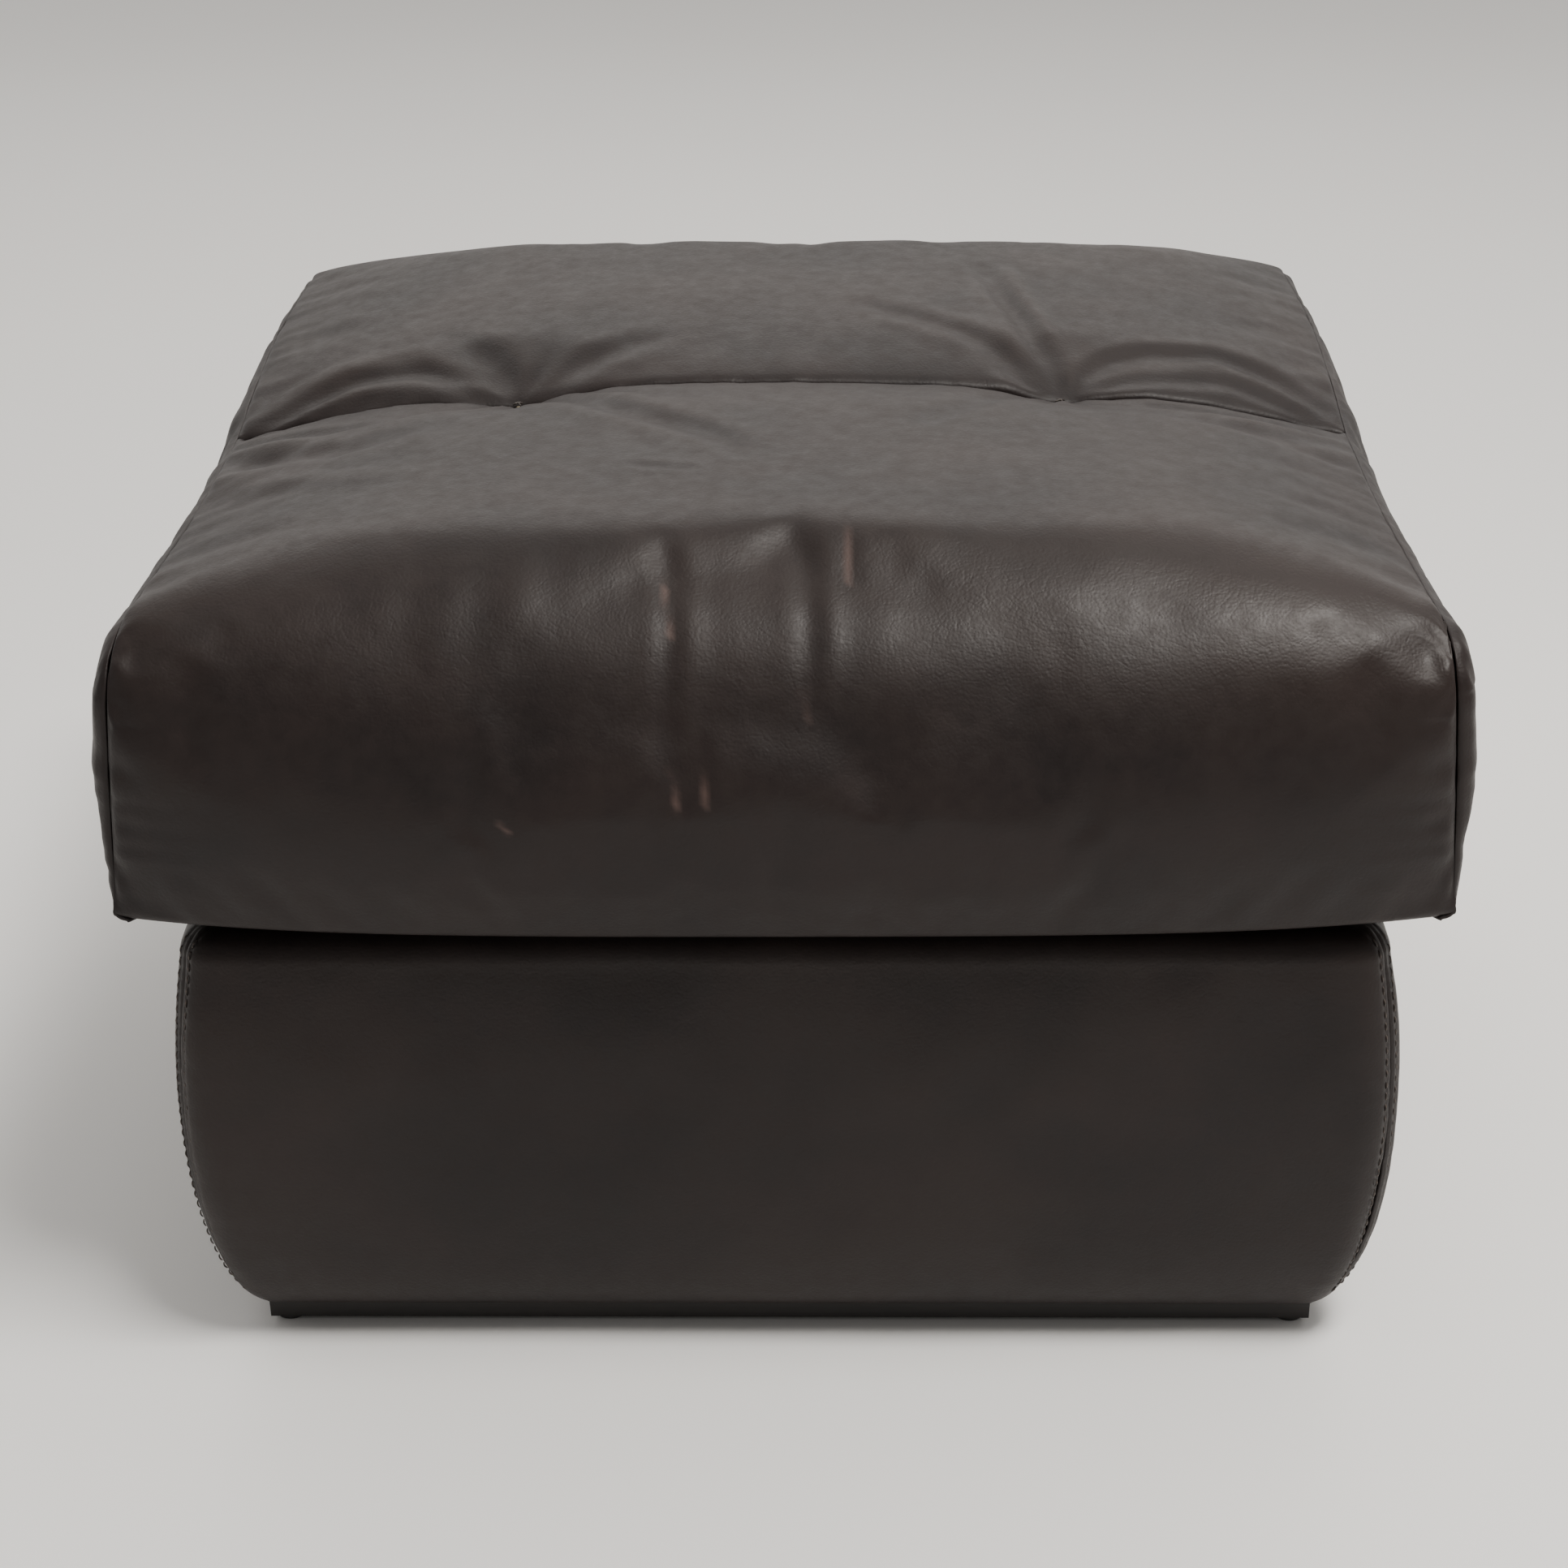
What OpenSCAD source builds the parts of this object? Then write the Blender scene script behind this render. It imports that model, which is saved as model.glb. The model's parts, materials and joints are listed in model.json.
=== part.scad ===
// Storage ottoman: a padded leather box on a plinth, closed by a hinged cushion lid with two slotted stays.
// Origin on the floor under the middle of the seat, +X to the right, -Y to the front, +Z up, millimetres.

/* [Base box] */
// Width of the upholstered base at its top edge
base_w = 560; // [460:1:680]
// Depth of the upholstered base at its top edge
base_d = 585; // [460:1:680]
// Height of the upholstered top edge above the floor
rim_z = 228; // [206:1:320]
// Height of the padded underside above the floor
under_z = 14; // [10:1:18]
// How far the padded sides swell out towards the bottom
base_belly = 12; // [6:0.5:16]
// Radius of the padded top edge
rim_edge_r = 15; // [8:0.5:15]
// Radius of the padded bottom edge
lower_roll_r = 32; // [20:1:39]
// How far the front and rear leather wraps round onto the sides
corner_wrap = 20; // [12:1:30]

/* [Boards and padding] */
// Thickness of the wall boards
wall_t = 16; // [14:1:20]
// Thickness of the bottom board
bottom_t = 12; // [9:1:18]
// Thickness of the padding over the walls
pad_t = 14; // [14:0.2:20]
// Thickness of the leather
leather_t = 1.5; // [1:0.1:2]
// Thickness of the fabric-covered card that lines the walls
lining_t = 1.5; // [0.8:0.1:2]
// How far the leather turns down inside the box
turn_down = 20; // [14:1:26]

/* [Plinth] */
// Distance from the base's top edge line in to the plinth
plinth_inset = 22; // [20:1:40]
// Thickness of the plinth rails
plinth_t = 18; // [15:1:22]
// Gap between the underside of the bottom board and the padded underside
board_lift = 8; // [6:0.5:12]
// Diameter of a glide
glide_d = 16; // [12:1:20]
// Height of a glide
glide_h = 3; // [2:0.5:5]

/* [Cushion lid] */
// Gap between the base's top edge and the lid
lid_gap = 10; // [8:0.5:12]
// How far the cushion's side seams stand out over the base on each side
side_overhang = 23; // [10:0.5:40]
// How far the cushion's front and rear top edges stand out over the base
end_overhang = 5; // [4:0.5:30]
// Height of the cushion at its seams
cushion_seam_h = 146; // [110:1:170]
// How far the top rises above the seams
crown_h = 25; // [10:1:30]
// How far the sides swell out
side_bulge = 14; // [6:0.5:18]
// How far the front and rear swell out
end_bulge = 20; // [8:0.5:24]
// Thickness of the lid board
lid_board_t = 15; // [12:1:18]
// How far the lid board stays inside the cushion seams
lid_board_inset = 10; // [6:1:16]
// How far the turned-under leather reaches in from the cushion seams
hem_w = 24; // [18:1:25]
// Distance of each tuft from the middle of the seat
tuft_x = 143; // [90:1:200]
// Depth of each tuft
tuft_depth = 14; // [8:1:20]

/* [Hinges] */
// Distance of each hinge's middle from the side of the base
hinge_inset = 110; // [95:1:130]
// Length of a hinge
hinge_len = 60; // [50:1:72]
// Thickness of a hinge leaf
leaf_t = 1.8; // [1.5:0.1:2]
// Radius of a hinge pin
hinge_pin_r = 2.2; // [1.8:0.1:2.8]
// How far the lid opens, in degrees
lid_travel = 85; // [60:1:85]

/* [Lid stays] */
// How far the slot's end stays above the storage floor with the lid shut
stay_floor_clear = 38; // [24:1:60]
// Angle of the stay's pivot below the hinge pin, in degrees
stay_drop = 5.3; // [5:0.1:6]
// Angle from the stay's pivot to its stud at rest, in degrees
stay_lead = 15; // [13:0.5:17]
// Width of a stay arm
arm_w = 16; // [14:0.5:18]
// Thickness of a stay arm
arm_t = 2.5; // [2:0.1:3]
// Radius of the stud and the rivet in a stay
stay_pin_r = 3; // [2.5:0.1:3.5]

/* [Hidden] */
$fn = 48;

// Steps along each curved stretch of an outline.
ARC_STEPS = 6;
SWELL_STEPS = 14;
// Cutting tools pass this far through what they cut.
PAST = 20;

espresso = [0.23, 0.20, 0.18];
lining_grey = [0.16, 0.15, 0.15];
board_tan = [0.72, 0.58, 0.42];
padding_white = [0.88, 0.87, 0.84];
foam_yellow = [0.90, 0.85, 0.66];
steel_grey = [0.72, 0.73, 0.75];
rubber_black = [0.08, 0.08, 0.08];
plinth_black = [0.10, 0.09, 0.09];
twine_tan = [0.80, 0.74, 0.60];

// Base box: boards stand inside the padding, which stands inside the leather.
cover_t = leather_t + pad_t;
wall_x = base_w / 2 - cover_t;
wall_y = base_d / 2 - cover_t;
inner_x = wall_x - wall_t;
inner_y = wall_y - wall_t;
board_z = under_z + board_lift;
floor_z = board_z + bottom_t;
wall_top_z = rim_z - leather_t;
lining_top_z = rim_z - turn_down;
floor_card_t = 1.5;
plinth_x = base_w / 2 - plinth_inset;
plinth_y = base_d / 2 - plinth_inset;
// The leather turns up just outside the plinth, runs in over the rails and is stapled inside them.
lip_gap = 1;
flange_tail = 12;
flange_w = leather_t + lip_gap + plinth_t + flange_tail;
lip_x = plinth_x + lip_gap + leather_t;
lip_y = plinth_y + lip_gap + leather_t;
rail_top_z = board_z - leather_t;
mitre_spare = 10;
dust_t = 0.8;

// Lid
cushion_w = base_w + 2 * side_overhang;
cushion_d = base_d + 2 * end_overhang;
lid_z = rim_z + lid_gap;
lid_board_z = lid_z + leather_t;
lid_board_x = cushion_w / 2 - lid_board_inset;
lid_board_y = cushion_d / 2 - lid_board_inset;
hem_x = cushion_w / 2 - hem_w;
hem_y = cushion_d / 2 - hem_w;
seam_z = lid_z + cushion_seam_h;
hem_edge_r = 8;
crown_power = 2.4;
tuft_ball_r = 60;
tuft_top_z = seam_z + crown_h * (1 - pow(tuft_x / (cushion_w / 2), crown_power)) - tuft_depth;
twine_r = 1;
toggle_r = 10;
toggle_t = 3;
bumper_r = 7;
bumper_tip_r = 6;
bumper_clear = 0.3;
bumper_x = wall_x - wall_t / 2;
bumper_y = wall_y - wall_t / 2;

// Hinges: the pin lies half way up the gap, just behind the base.
knuckle_gap = 0.5;
knuckle_leaf_clear = 0.2;
knuckle_r = lid_gap / 2 - knuckle_leaf_clear;
hinge_x = base_w / 2 - hinge_inset;
hinge_z = rim_z + lid_gap / 2;
hinge_y = base_d / 2 + knuckle_r + knuckle_gap;
leaf_edge = 2.5;
leaf_w = hinge_y - inner_y - leaf_edge;
knuckle_count = 5;
knuckle_end_clear = 0.2;
notch_clear = 0.3;
pin_fit = 0.05;
pin_head_r = hinge_pin_r + 0.8;
pin_head_t = 1;
hinge_screw_y = wall_y - wall_t / 2;
hinge_screw_step = hinge_len / 3;

// Stays: pivot and stud are equally far from the hinge pin, so the arm turns by half of the lid's angle.
stay_tilt = stay_drop + stay_lead / 2;
stay_reach_share = sin(stay_drop) + 2 * sin((stay_lead + lid_travel) / 2) * cos(stay_tilt);
stay_r = (hinge_z - floor_z - floor_card_t - stay_floor_clear) / stay_reach_share;
pivot_y = hinge_y - stay_r * cos(stay_drop);
pivot_z = hinge_z - stay_r * sin(stay_drop);
stud_y = hinge_y - stay_r * cos(stay_drop + stay_lead);
stud_z = hinge_z - stay_r * sin(stay_drop + stay_lead);
chord_shut = 2 * stay_r * sin(stay_lead / 2);
chord_open = 2 * stay_r * sin((stay_lead + lid_travel) / 2);
slot_spare = 1.5;
arm_tip = 3;
plate_t = 2;
plate_clear = 0.4;
side_clear = 0.3;
stay_head_t = 1;
// Faces of the layers from the wall lining inwards.
plate_face_x = inner_x - max(lining_t, leather_t) - plate_t;
arm_face_x = plate_face_x - plate_clear;
ear_face_x = arm_face_x - arm_t - side_clear;
stud_head_r = 6;
stud_head_t = 2;
rivet_head_r = 5;
ear_t = 2;
ear_r = 9;
foot_w = 25;
foot_l = 36;
plate_l = 40;
plate_h = 20;
stud_screw_step = 14;
foot_screw_step = 11;

// Wood screws: diameter, head diameter.
SCREW_D = 4;
SCREW_HEAD_D = 7.6;
SMALL_SCREW_D = 3;
SMALL_HEAD_D = 5.6;
board_screw_len = 40;
plinth_screw_len = 28;
hinge_base_screw_len = 22;
lid_screw_len = 13;
stud_screw_len = 12;
board_screw_span = 150;
rail_screw_x = 75;
frame_screw_drop = 34;

// Staples
staple_w = 10;
staple_wire = 0.8;
staple_crown_t = 0.5;
staple_leg = 7;
staple_line = 5;
flange_staple_margin = 65;
lining_staple_margin = 45;
hinge_staple_gap = 18;

// Points of an arc about a centre, from one angle to another.
function arc(cx, cz, r, a0, a1) =
    [for (i = [0:ARC_STEPS]) let(a = a0 + (a1 - a0) * i / ARC_STEPS) [cx + r * cos(a), cz + r * sin(a)]];

// Points of a shallow swell that runs down from z1 to z0 at distance x and stands out by h half way.
function swell(x, z1, z0, h) =
    [for (i = [1:SWELL_STEPS - 1]) let(s = i / SWELL_STEPS) [x + 4 * h * s * (1 - s), z1 + (z0 - z1) * s]];

// Points of a side that runs down from z1 to z0 and stands out by h at its foot.
function flare(x, z1, z0, h) =
    [for (i = [1:SWELL_STEPS - 1]) let(s = i / SWELL_STEPS) [x + h * s * (2 - s), z1 + (z0 - z1) * s]];

// Points of the seat's crown from the middle out to a seam.
function crown(x, z, h) =
    [for (i = [0:SWELL_STEPS]) let(s = i / SWELL_STEPS) [x * s, z + h * (1 - pow(s, crown_power))]];

// A half outline and its mirror image.
function both_halves(p) = concat(p, [for (i = [len(p) - 1:-1:0]) [-p[i][0], p[i][1]]]);

// Outline of the padded base across one direction, a distance t inside the leather's outer face.
function base_outline(w, t) = both_halves(concat(
    arc(w / 2 - rim_edge_r, rim_z - rim_edge_r, rim_edge_r - t, 90, 0),
    flare(w / 2 - t, rim_z - rim_edge_r, under_z + lower_roll_r, base_belly),
    arc(w / 2 + base_belly - lower_roll_r, under_z + lower_roll_r, lower_roll_r - t, 0, -90)
));

// Outline of the cushion across one direction, a distance t inside the leather's outer face.
function cushion_outline(w, bulge, t) = both_halves(concat(
    crown(w / 2 - t, seam_z - t, crown_h),
    swell(w / 2 - t, seam_z - t, lid_z + hem_edge_r, bulge),
    arc(w / 2 - hem_edge_r, lid_z + hem_edge_r, hem_edge_r - t, 0, -90)
));

// Space that has one outline seen from the front and another seen from the side.
module crossed(front_outline, side_outline) {
    reach = 2 * (cushion_w + cushion_d);
    intersection() {
        rotate([90, 0, 0]) linear_extrude(height = reach, center = true) polygon(front_outline);
        rotate([90, 0, 90]) linear_extrude(height = reach, center = true) polygon(side_outline);
    }
}

module base_form(t) {
    crossed(base_outline(base_w, t), base_outline(base_d, t));
}

module cushion_form(t) {
    difference() {
        crossed(cushion_outline(cushion_w, side_bulge, t), cushion_outline(cushion_d, end_bulge, t));
        for (side = [-1, 1]) {
            translate([side * tuft_x, 0, tuft_top_z + tuft_ball_r]) sphere(r = tuft_ball_r + t);
        }
    }
}

// A block centred on the middle of the seat, given by its half sizes and its lowest and highest points.
module slab(x, y, z0, z1) {
    translate([-x, -y, z0]) cube([2 * x, 2 * y, z1 - z0]);
}

module ring(x, y, t, z0, z1) {
    difference() {
        slab(x, y, z0, z1);
        slab(x - t, y - t, z0 - PAST, z1 + PAST);
    }
}

// Plan area of the front quarter of the base, bounded by the corner seams and the mitres inside them.
module front_sector() {
    reach = base_w + base_d;
    seam_x = base_w / 2 - corner_wrap;
    seam_y = base_d / 2 - corner_wrap;
    mitre = plinth_inset + plinth_t + flange_tail + mitre_spare;
    translate([0, 0, -PAST]) linear_extrude(height = rim_z + 2 * PAST) polygon([
        [-reach, -reach], [reach, -reach], [reach, -seam_y], [seam_x, -seam_y],
        [seam_x - mitre, mitre - seam_y], [mitre - seam_x, mitre - seam_y],
        [-seam_x, -seam_y], [-reach, -seam_y]
    ]);
}

module front_part() {
    intersection() {
        children();
        front_sector();
    }
}

module right_part() {
    difference() {
        intersection() {
            children();
            translate([0, -base_d, -PAST]) cube([base_w, 2 * base_d, rim_z + 2 * PAST]);
        }
        front_sector();
        mirror([0, 1, 0]) front_sector();
    }
}

// Countersunk wood screw along +Z with the face of its head at the origin.
module screw_blank(d, head_d, length) {
    cone_h = (head_d - d) / 2;
    tip_h = d / 2;
    cylinder(h = cone_h, d1 = head_d, d2 = d);
    cylinder(h = length - tip_h, d = d);
    translate([0, 0, length - tip_h]) cylinder(h = tip_h, d1 = d, d2 = d / 4);
}

module screw(d, head_d, length) {
    cross_w = d / 4;
    cross_l = 0.6 * head_d;
    cross_h = d / 4;
    difference() {
        screw_blank(d, head_d, length);
        for (a = [0, 90]) {
            rotate([0, 0, a]) translate([-cross_l / 2, -cross_w / 2, -cross_h]) {
                cube([cross_l, cross_w, 2 * cross_h]);
            }
        }
    }
}

// Staple under a panel: its crown lies under the origin along X and its legs point up.
module staple() {
    for (end = [-1, 1]) {
        leg_x = end * (staple_w - staple_wire) / 2;
        translate([leg_x - staple_wire / 2, -staple_wire / 2, -staple_crown_t]) {
            cube([staple_wire, staple_wire, staple_leg + staple_crown_t]);
        }
    }
    translate([-staple_w / 2, -staple_wire / 2, -staple_crown_t]) {
        cube([staple_w, staple_wire, staple_crown_t]);
    }
}

// A screw, or the plain blank that cuts the hole for it.
module screw_or_hole(d, head_d, length, cut) {
    if (cut) {
        screw_blank(d, head_d, length);
    } else {
        screw(d, head_d, length);
    }
}

module wood_screw(length, cut) {
    screw_or_hole(SCREW_D, SCREW_HEAD_D, length, cut);
}

module small_screw(length, cut) {
    screw_or_hole(SMALL_SCREW_D, SMALL_HEAD_D, length, cut);
}

// Each set below is one group of fasteners, or with cut the holes for it.

module frame_screw_set(cut = false) {
    zs = [floor_z + frame_screw_drop, (floor_z + wall_top_z) / 2, wall_top_z - frame_screw_drop];
    for (x = [-1, 1], y = [-1, 1], z = zs) {
        translate([x * (wall_x - wall_t / 2), y * wall_y, z]) rotate([y * 90, 0, 0]) {
            wood_screw(board_screw_len, cut);
        }
    }
}

module bottom_screw_set(cut = false) {
    for (side = [-1, 1], k = [-1:1]) {
        for (place = [
            [side * (wall_x - wall_t / 2), k * board_screw_span, board_z],
            [k * board_screw_span, side * (wall_y - wall_t / 2), board_z]
        ]) {
            translate(place) wood_screw(board_screw_len, cut);
        }
    }
}

module plinth_screw_set(cut = false) {
    for (side = [-1, 1], k = [-1, 1]) {
        for (place = [
            [side * (plinth_x - plinth_t / 2), k * rail_screw_x, glide_h],
            [k * rail_screw_x, side * (plinth_y - plinth_t / 2), glide_h]
        ]) {
            translate(place) wood_screw(plinth_screw_len, cut);
        }
    }
}

// Evenly spaced places from -span to span, with n of them on each side of the middle.
function even_places(span, n) = [for (k = [-n:n]) k * span / n];

// Staples along the four sides of a rectangle with half sizes x and y.
module staple_frame(x, y, z, x_places, y_places) {
    for (side = [-1, 1]) {
        for (place = x_places) {
            translate([place, side * y, z]) staple();
        }
        for (place = y_places) {
            translate([side * x, place, z]) rotate([0, 0, 90]) staple();
        }
    }
}

module underside_staple_set() {
    x_places = even_places(lip_x - flange_staple_margin, 3);
    y_places = even_places(lip_y - flange_staple_margin, 3);
    edge = flange_w - flange_tail / 2;
    staple_frame(lip_x - edge, lip_y - edge, rail_top_z, x_places, y_places);
}

// The rows along the front and rear leave room for the hinges.
module lining_staple_set() {
    outer = hinge_x + hinge_len / 2 + hinge_staple_gap;
    inner = hinge_x - hinge_len / 2 - hinge_staple_gap;
    x_places = [-outer, -inner, -inner / 3, inner / 3, inner, outer];
    y_places = even_places(hem_y - lining_staple_margin, 2);
    staple_frame(hem_x - staple_line, hem_y - staple_line, lid_z, x_places, y_places);
}

module hinge_base_screw_set(cut = false) {
    for (side = [-1, 1], k = [-1:1]) {
        translate([side * hinge_x + k * hinge_screw_step, hinge_screw_y, rim_z + leaf_t]) {
            rotate([180, 0, 0]) small_screw(hinge_base_screw_len, cut);
        }
    }
}

module hinge_lid_screw_set(cut = false) {
    for (side = [-1, 1], k = [-1:1]) {
        translate([side * hinge_x + k * hinge_screw_step, hinge_screw_y, lid_z - leaf_t]) {
            small_screw(lid_screw_len, cut);
        }
    }
}

module stud_screw_set(cut = false) {
    for (side = [-1, 1], k = [-1, 1]) {
        translate([side * plate_face_x, stud_y + k * stud_screw_step, stud_z]) rotate([0, side * 90, 0]) {
            small_screw(stud_screw_len, cut);
        }
    }
}

module bracket_screw_set(cut = false) {
    for (side = [-1, 1], k = [-1, 1]) {
        translate([side * (ear_face_x - foot_w / 2), pivot_y + k * foot_screw_step, lid_z - plate_t]) {
            small_screw(lid_screw_len, cut);
        }
    }
}

// Plinth and glides
glide_nail_r = 1.3;
glide_nail_len = 14;
glide_places = [
    for (x = [-1, 1], y = [-1, 1]) [x * (plinth_x - plinth_t / 2), y * (plinth_y - plinth_t / 2), 0]
];

module glide_nails() {
    for (place = glide_places) {
        translate(place + [0, 0, glide_h]) cylinder(h = glide_nail_len, r = glide_nail_r);
    }
}

module front_rail_blank() {
    translate([-plinth_x, -plinth_y, glide_h]) cube([2 * plinth_x, plinth_t, rail_top_z - glide_h]);
}

module right_rail_blank() {
    side_l = 2 * (plinth_y - plinth_t);
    translate([plinth_x - plinth_t, -side_l / 2, glide_h]) cube([plinth_t, side_l, rail_top_z - glide_h]);
}

module drilled_rail() {
    color(plinth_black) difference() {
        children();
        glide_nails();
        plinth_screw_set(cut = true);
    }
}

module front_plinth_rail() {
    drilled_rail() front_rail_blank();
}

module rear_plinth_rail() {
    drilled_rail() mirror([0, 1, 0]) front_rail_blank();
}

module left_plinth_rail() {
    drilled_rail() mirror([1, 0, 0]) right_rail_blank();
}

module right_plinth_rail() {
    drilled_rail() right_rail_blank();
}

module glides() {
    edge = 0.6;
    color(rubber_black) {
        for (place = glide_places) {
            translate(place) cylinder(h = edge, d1 = glide_d - 2 * edge, d2 = glide_d);
            translate(place + [0, 0, edge]) cylinder(h = glide_h - edge, d = glide_d);
        }
        glide_nails();
    }
}

// Boards
module bottom_board() {
    color(board_tan) difference() {
        slab(wall_x, wall_y, board_z, floor_z);
        bottom_screw_set(cut = true);
        plinth_screw_set(cut = true);
        underside_staple_set();
    }
}

module front_wall_blank() {
    translate([-wall_x, -wall_y, floor_z]) cube([2 * wall_x, wall_t, wall_top_z - floor_z]);
}

module right_wall_blank() {
    translate([inner_x, -inner_y, floor_z]) cube([wall_t, 2 * inner_y, wall_top_z - floor_z]);
}

module drilled_wall() {
    color(board_tan) difference() {
        children();
        frame_screw_set(cut = true);
        bottom_screw_set(cut = true);
        hinge_base_screw_set(cut = true);
        stud_screw_set(cut = true);
    }
}

module front_wall() {
    drilled_wall() front_wall_blank();
}

module rear_wall() {
    drilled_wall() mirror([0, 1, 0]) front_wall_blank();
}

module left_wall() {
    drilled_wall() mirror([1, 0, 0]) right_wall_blank();
}

module right_wall() {
    drilled_wall() right_wall_blank();
}

module frame_screws() {
    color(steel_grey) frame_screw_set();
}

module bottom_screws() {
    color(steel_grey) bottom_screw_set();
}

module plinth_screws() {
    color(steel_grey) plinth_screw_set();
}

// Padding between the boards and the leather
module padding_blank() {
    difference() {
        base_form(leather_t);
        slab(wall_x, wall_y, board_z, rim_z + PAST);
        slab(lip_x, lip_y, -PAST, board_z + 1);
    }
}

module front_padding() {
    color(padding_white) front_part() padding_blank();
}

module rear_padding() {
    color(padding_white) mirror([0, 1, 0]) front_part() padding_blank();
}

module left_padding() {
    color(padding_white) mirror([1, 0, 0]) right_part() padding_blank();
}

module right_padding() {
    color(padding_white) right_part() padding_blank();
}

// Base leather: outer skin, the turn down inside the box, and the lip and stapled flange under the board
module base_leather_blank() {
    difference() {
        base_form(0);
        base_form(leather_t);
        slab(inner_x, inner_y, lining_top_z, rim_z + PAST);
        slab(lip_x - leather_t, lip_y - leather_t, -PAST, board_z);
    }
    ring(inner_x, inner_y, leather_t, lining_top_z, rim_z);
    intersection() {
        ring(lip_x, lip_y, leather_t, 0, board_z);
        base_form(0);
    }
    difference() {
        ring(lip_x, lip_y, flange_w, rail_top_z, board_z);
        underside_staple_set();
        plinth_screw_set(cut = true);
    }
}

module front_leather() {
    color(espresso) front_part() base_leather_blank();
}

module rear_leather() {
    color(espresso) difference() {
        mirror([0, 1, 0]) front_part() base_leather_blank();
        hinge_base_screw_set(cut = true);
    }
}

module left_leather() {
    color(espresso) mirror([1, 0, 0]) right_part() base_leather_blank();
}

module right_leather() {
    color(espresso) right_part() base_leather_blank();
}

module underside_staples() {
    color(steel_grey) underside_staple_set();
}

module dust_cover() {
    clear = 1;
    half_w = lip_x - flange_w - clear;
    half_d = lip_y - flange_w - clear;
    color(rubber_black) slab(half_w, half_d, board_z - dust_t, board_z);
}

module storage_lining() {
    color(lining_grey) difference() {
        ring(inner_x, inner_y, lining_t, floor_z, lining_top_z);
        stud_screw_set(cut = true);
    }
}

module floor_lining() {
    color(lining_grey) slab(inner_x - lining_t, inner_y - lining_t, floor_z, floor_z + floor_card_t);
}

// Hinges: knuckles are counted from the left, and the base leaf has the first, third and fifth.
knuckle_pitch = hinge_len / knuckle_count;

module knuckles(first, r, clear) {
    for (i = [first:2:knuckle_count - 1]) {
        translate([i * knuckle_pitch - hinge_len / 2 + clear / 2, hinge_y, hinge_z]) rotate([0, 90, 0]) {
            cylinder(h = knuckle_pitch - clear, r = r);
        }
    }
}

module hinge_leaf(first, z, bore_r) {
    difference() {
        union() {
            difference() {
                translate([-hinge_len / 2, hinge_y - leaf_w, z]) cube([hinge_len, leaf_w, leaf_t]);
                knuckles(1 - first, knuckle_r + notch_clear, 0);
            }
            knuckles(first, knuckle_r, 2 * knuckle_end_clear);
        }
        translate([-hinge_len / 2 - PAST, hinge_y, hinge_z]) rotate([0, 90, 0]) {
            cylinder(h = hinge_len + 2 * PAST, r = bore_r);
        }
    }
}

module hinge_base_leaf(side) {
    color(steel_grey) difference() {
        translate([side * hinge_x, 0, 0]) hinge_leaf(0, rim_z, hinge_pin_r);
        hinge_base_screw_set(cut = true);
    }
}

module hinge_lid_leaf(side) {
    color(steel_grey) difference() {
        translate([side * hinge_x, 0, 0]) hinge_leaf(1, lid_z - leaf_t, hinge_pin_r + pin_fit);
        hinge_lid_screw_set(cut = true);
    }
}

module hinge_pin(side) {
    color(steel_grey) translate([side * hinge_x - hinge_len / 2, hinge_y, hinge_z]) rotate([0, 90, 0]) {
        cylinder(h = hinge_len, r = hinge_pin_r);
        translate([0, 0, -pin_head_t]) cylinder(h = pin_head_t, r = pin_head_r);
        translate([0, 0, hinge_len]) cylinder(h = pin_head_t, r = pin_head_r);
    }
}

module left_hinge_base_leaf() {
    hinge_base_leaf(-1);
}

module right_hinge_base_leaf() {
    hinge_base_leaf(1);
}

module left_hinge_lid_leaf() {
    hinge_lid_leaf(-1);
}

module right_hinge_lid_leaf() {
    hinge_lid_leaf(1);
}

module left_hinge_pin() {
    hinge_pin(-1);
}

module right_hinge_pin() {
    hinge_pin(1);
}

module hinge_base_screws() {
    color(steel_grey) hinge_base_screw_set();
}

module hinge_lid_screws() {
    color(steel_grey) hinge_lid_screw_set();
}

// Stay stud on the side wall: plate, shank through the arm's slot, and head
module stay_stud_right() {
    head_x = ear_face_x - stud_head_t;
    difference() {
        union() {
            translate([plate_face_x, stud_y - plate_l / 2, stud_z - plate_h / 2]) {
                cube([plate_t, plate_l, plate_h]);
            }
            translate([head_x, stud_y, stud_z]) rotate([0, 90, 0]) {
                cylinder(h = stud_head_t, r = stud_head_r);
                cylinder(h = plate_face_x - head_x, r = stay_pin_r);
            }
        }
        stud_screw_set(cut = true);
    }
}

module right_stay_stud() {
    color(steel_grey) stay_stud_right();
}

module left_stay_stud() {
    color(steel_grey) mirror([1, 0, 0]) stay_stud_right();
}

module stay_stud_screws() {
    color(steel_grey) stud_screw_set();
}

// Stay arm: a flat bar that hangs from its pivot with a slot for the stud
module arm_capsule(from, to, w, x, t) {
    translate([x, 0, -from]) rotate([0, 90, 0]) cylinder(h = t, d = w);
    translate([x, 0, -to]) rotate([0, 90, 0]) cylinder(h = t, d = w);
    translate([x, -w / 2, -to]) cube([t, w, to - from]);
}

module stay_arm_right() {
    slot_w = 2 * (stay_pin_r + pin_fit);
    translate([arm_face_x - arm_t, pivot_y, pivot_z]) rotate([stay_tilt, 0, 0]) difference() {
        arm_capsule(0, chord_open + slot_spare + arm_tip, arm_w, 0, arm_t);
        arm_capsule(chord_shut - slot_spare, chord_open + slot_spare, slot_w, -PAST, arm_t + 2 * PAST);
        translate([-PAST, 0, 0]) rotate([0, 90, 0]) cylinder(h = arm_t + 2 * PAST, r = stay_pin_r + pin_fit);
    }
}

module right_stay_arm() {
    color(steel_grey) stay_arm_right();
}

module left_stay_arm() {
    color(steel_grey) mirror([1, 0, 0]) stay_arm_right();
}

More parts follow.
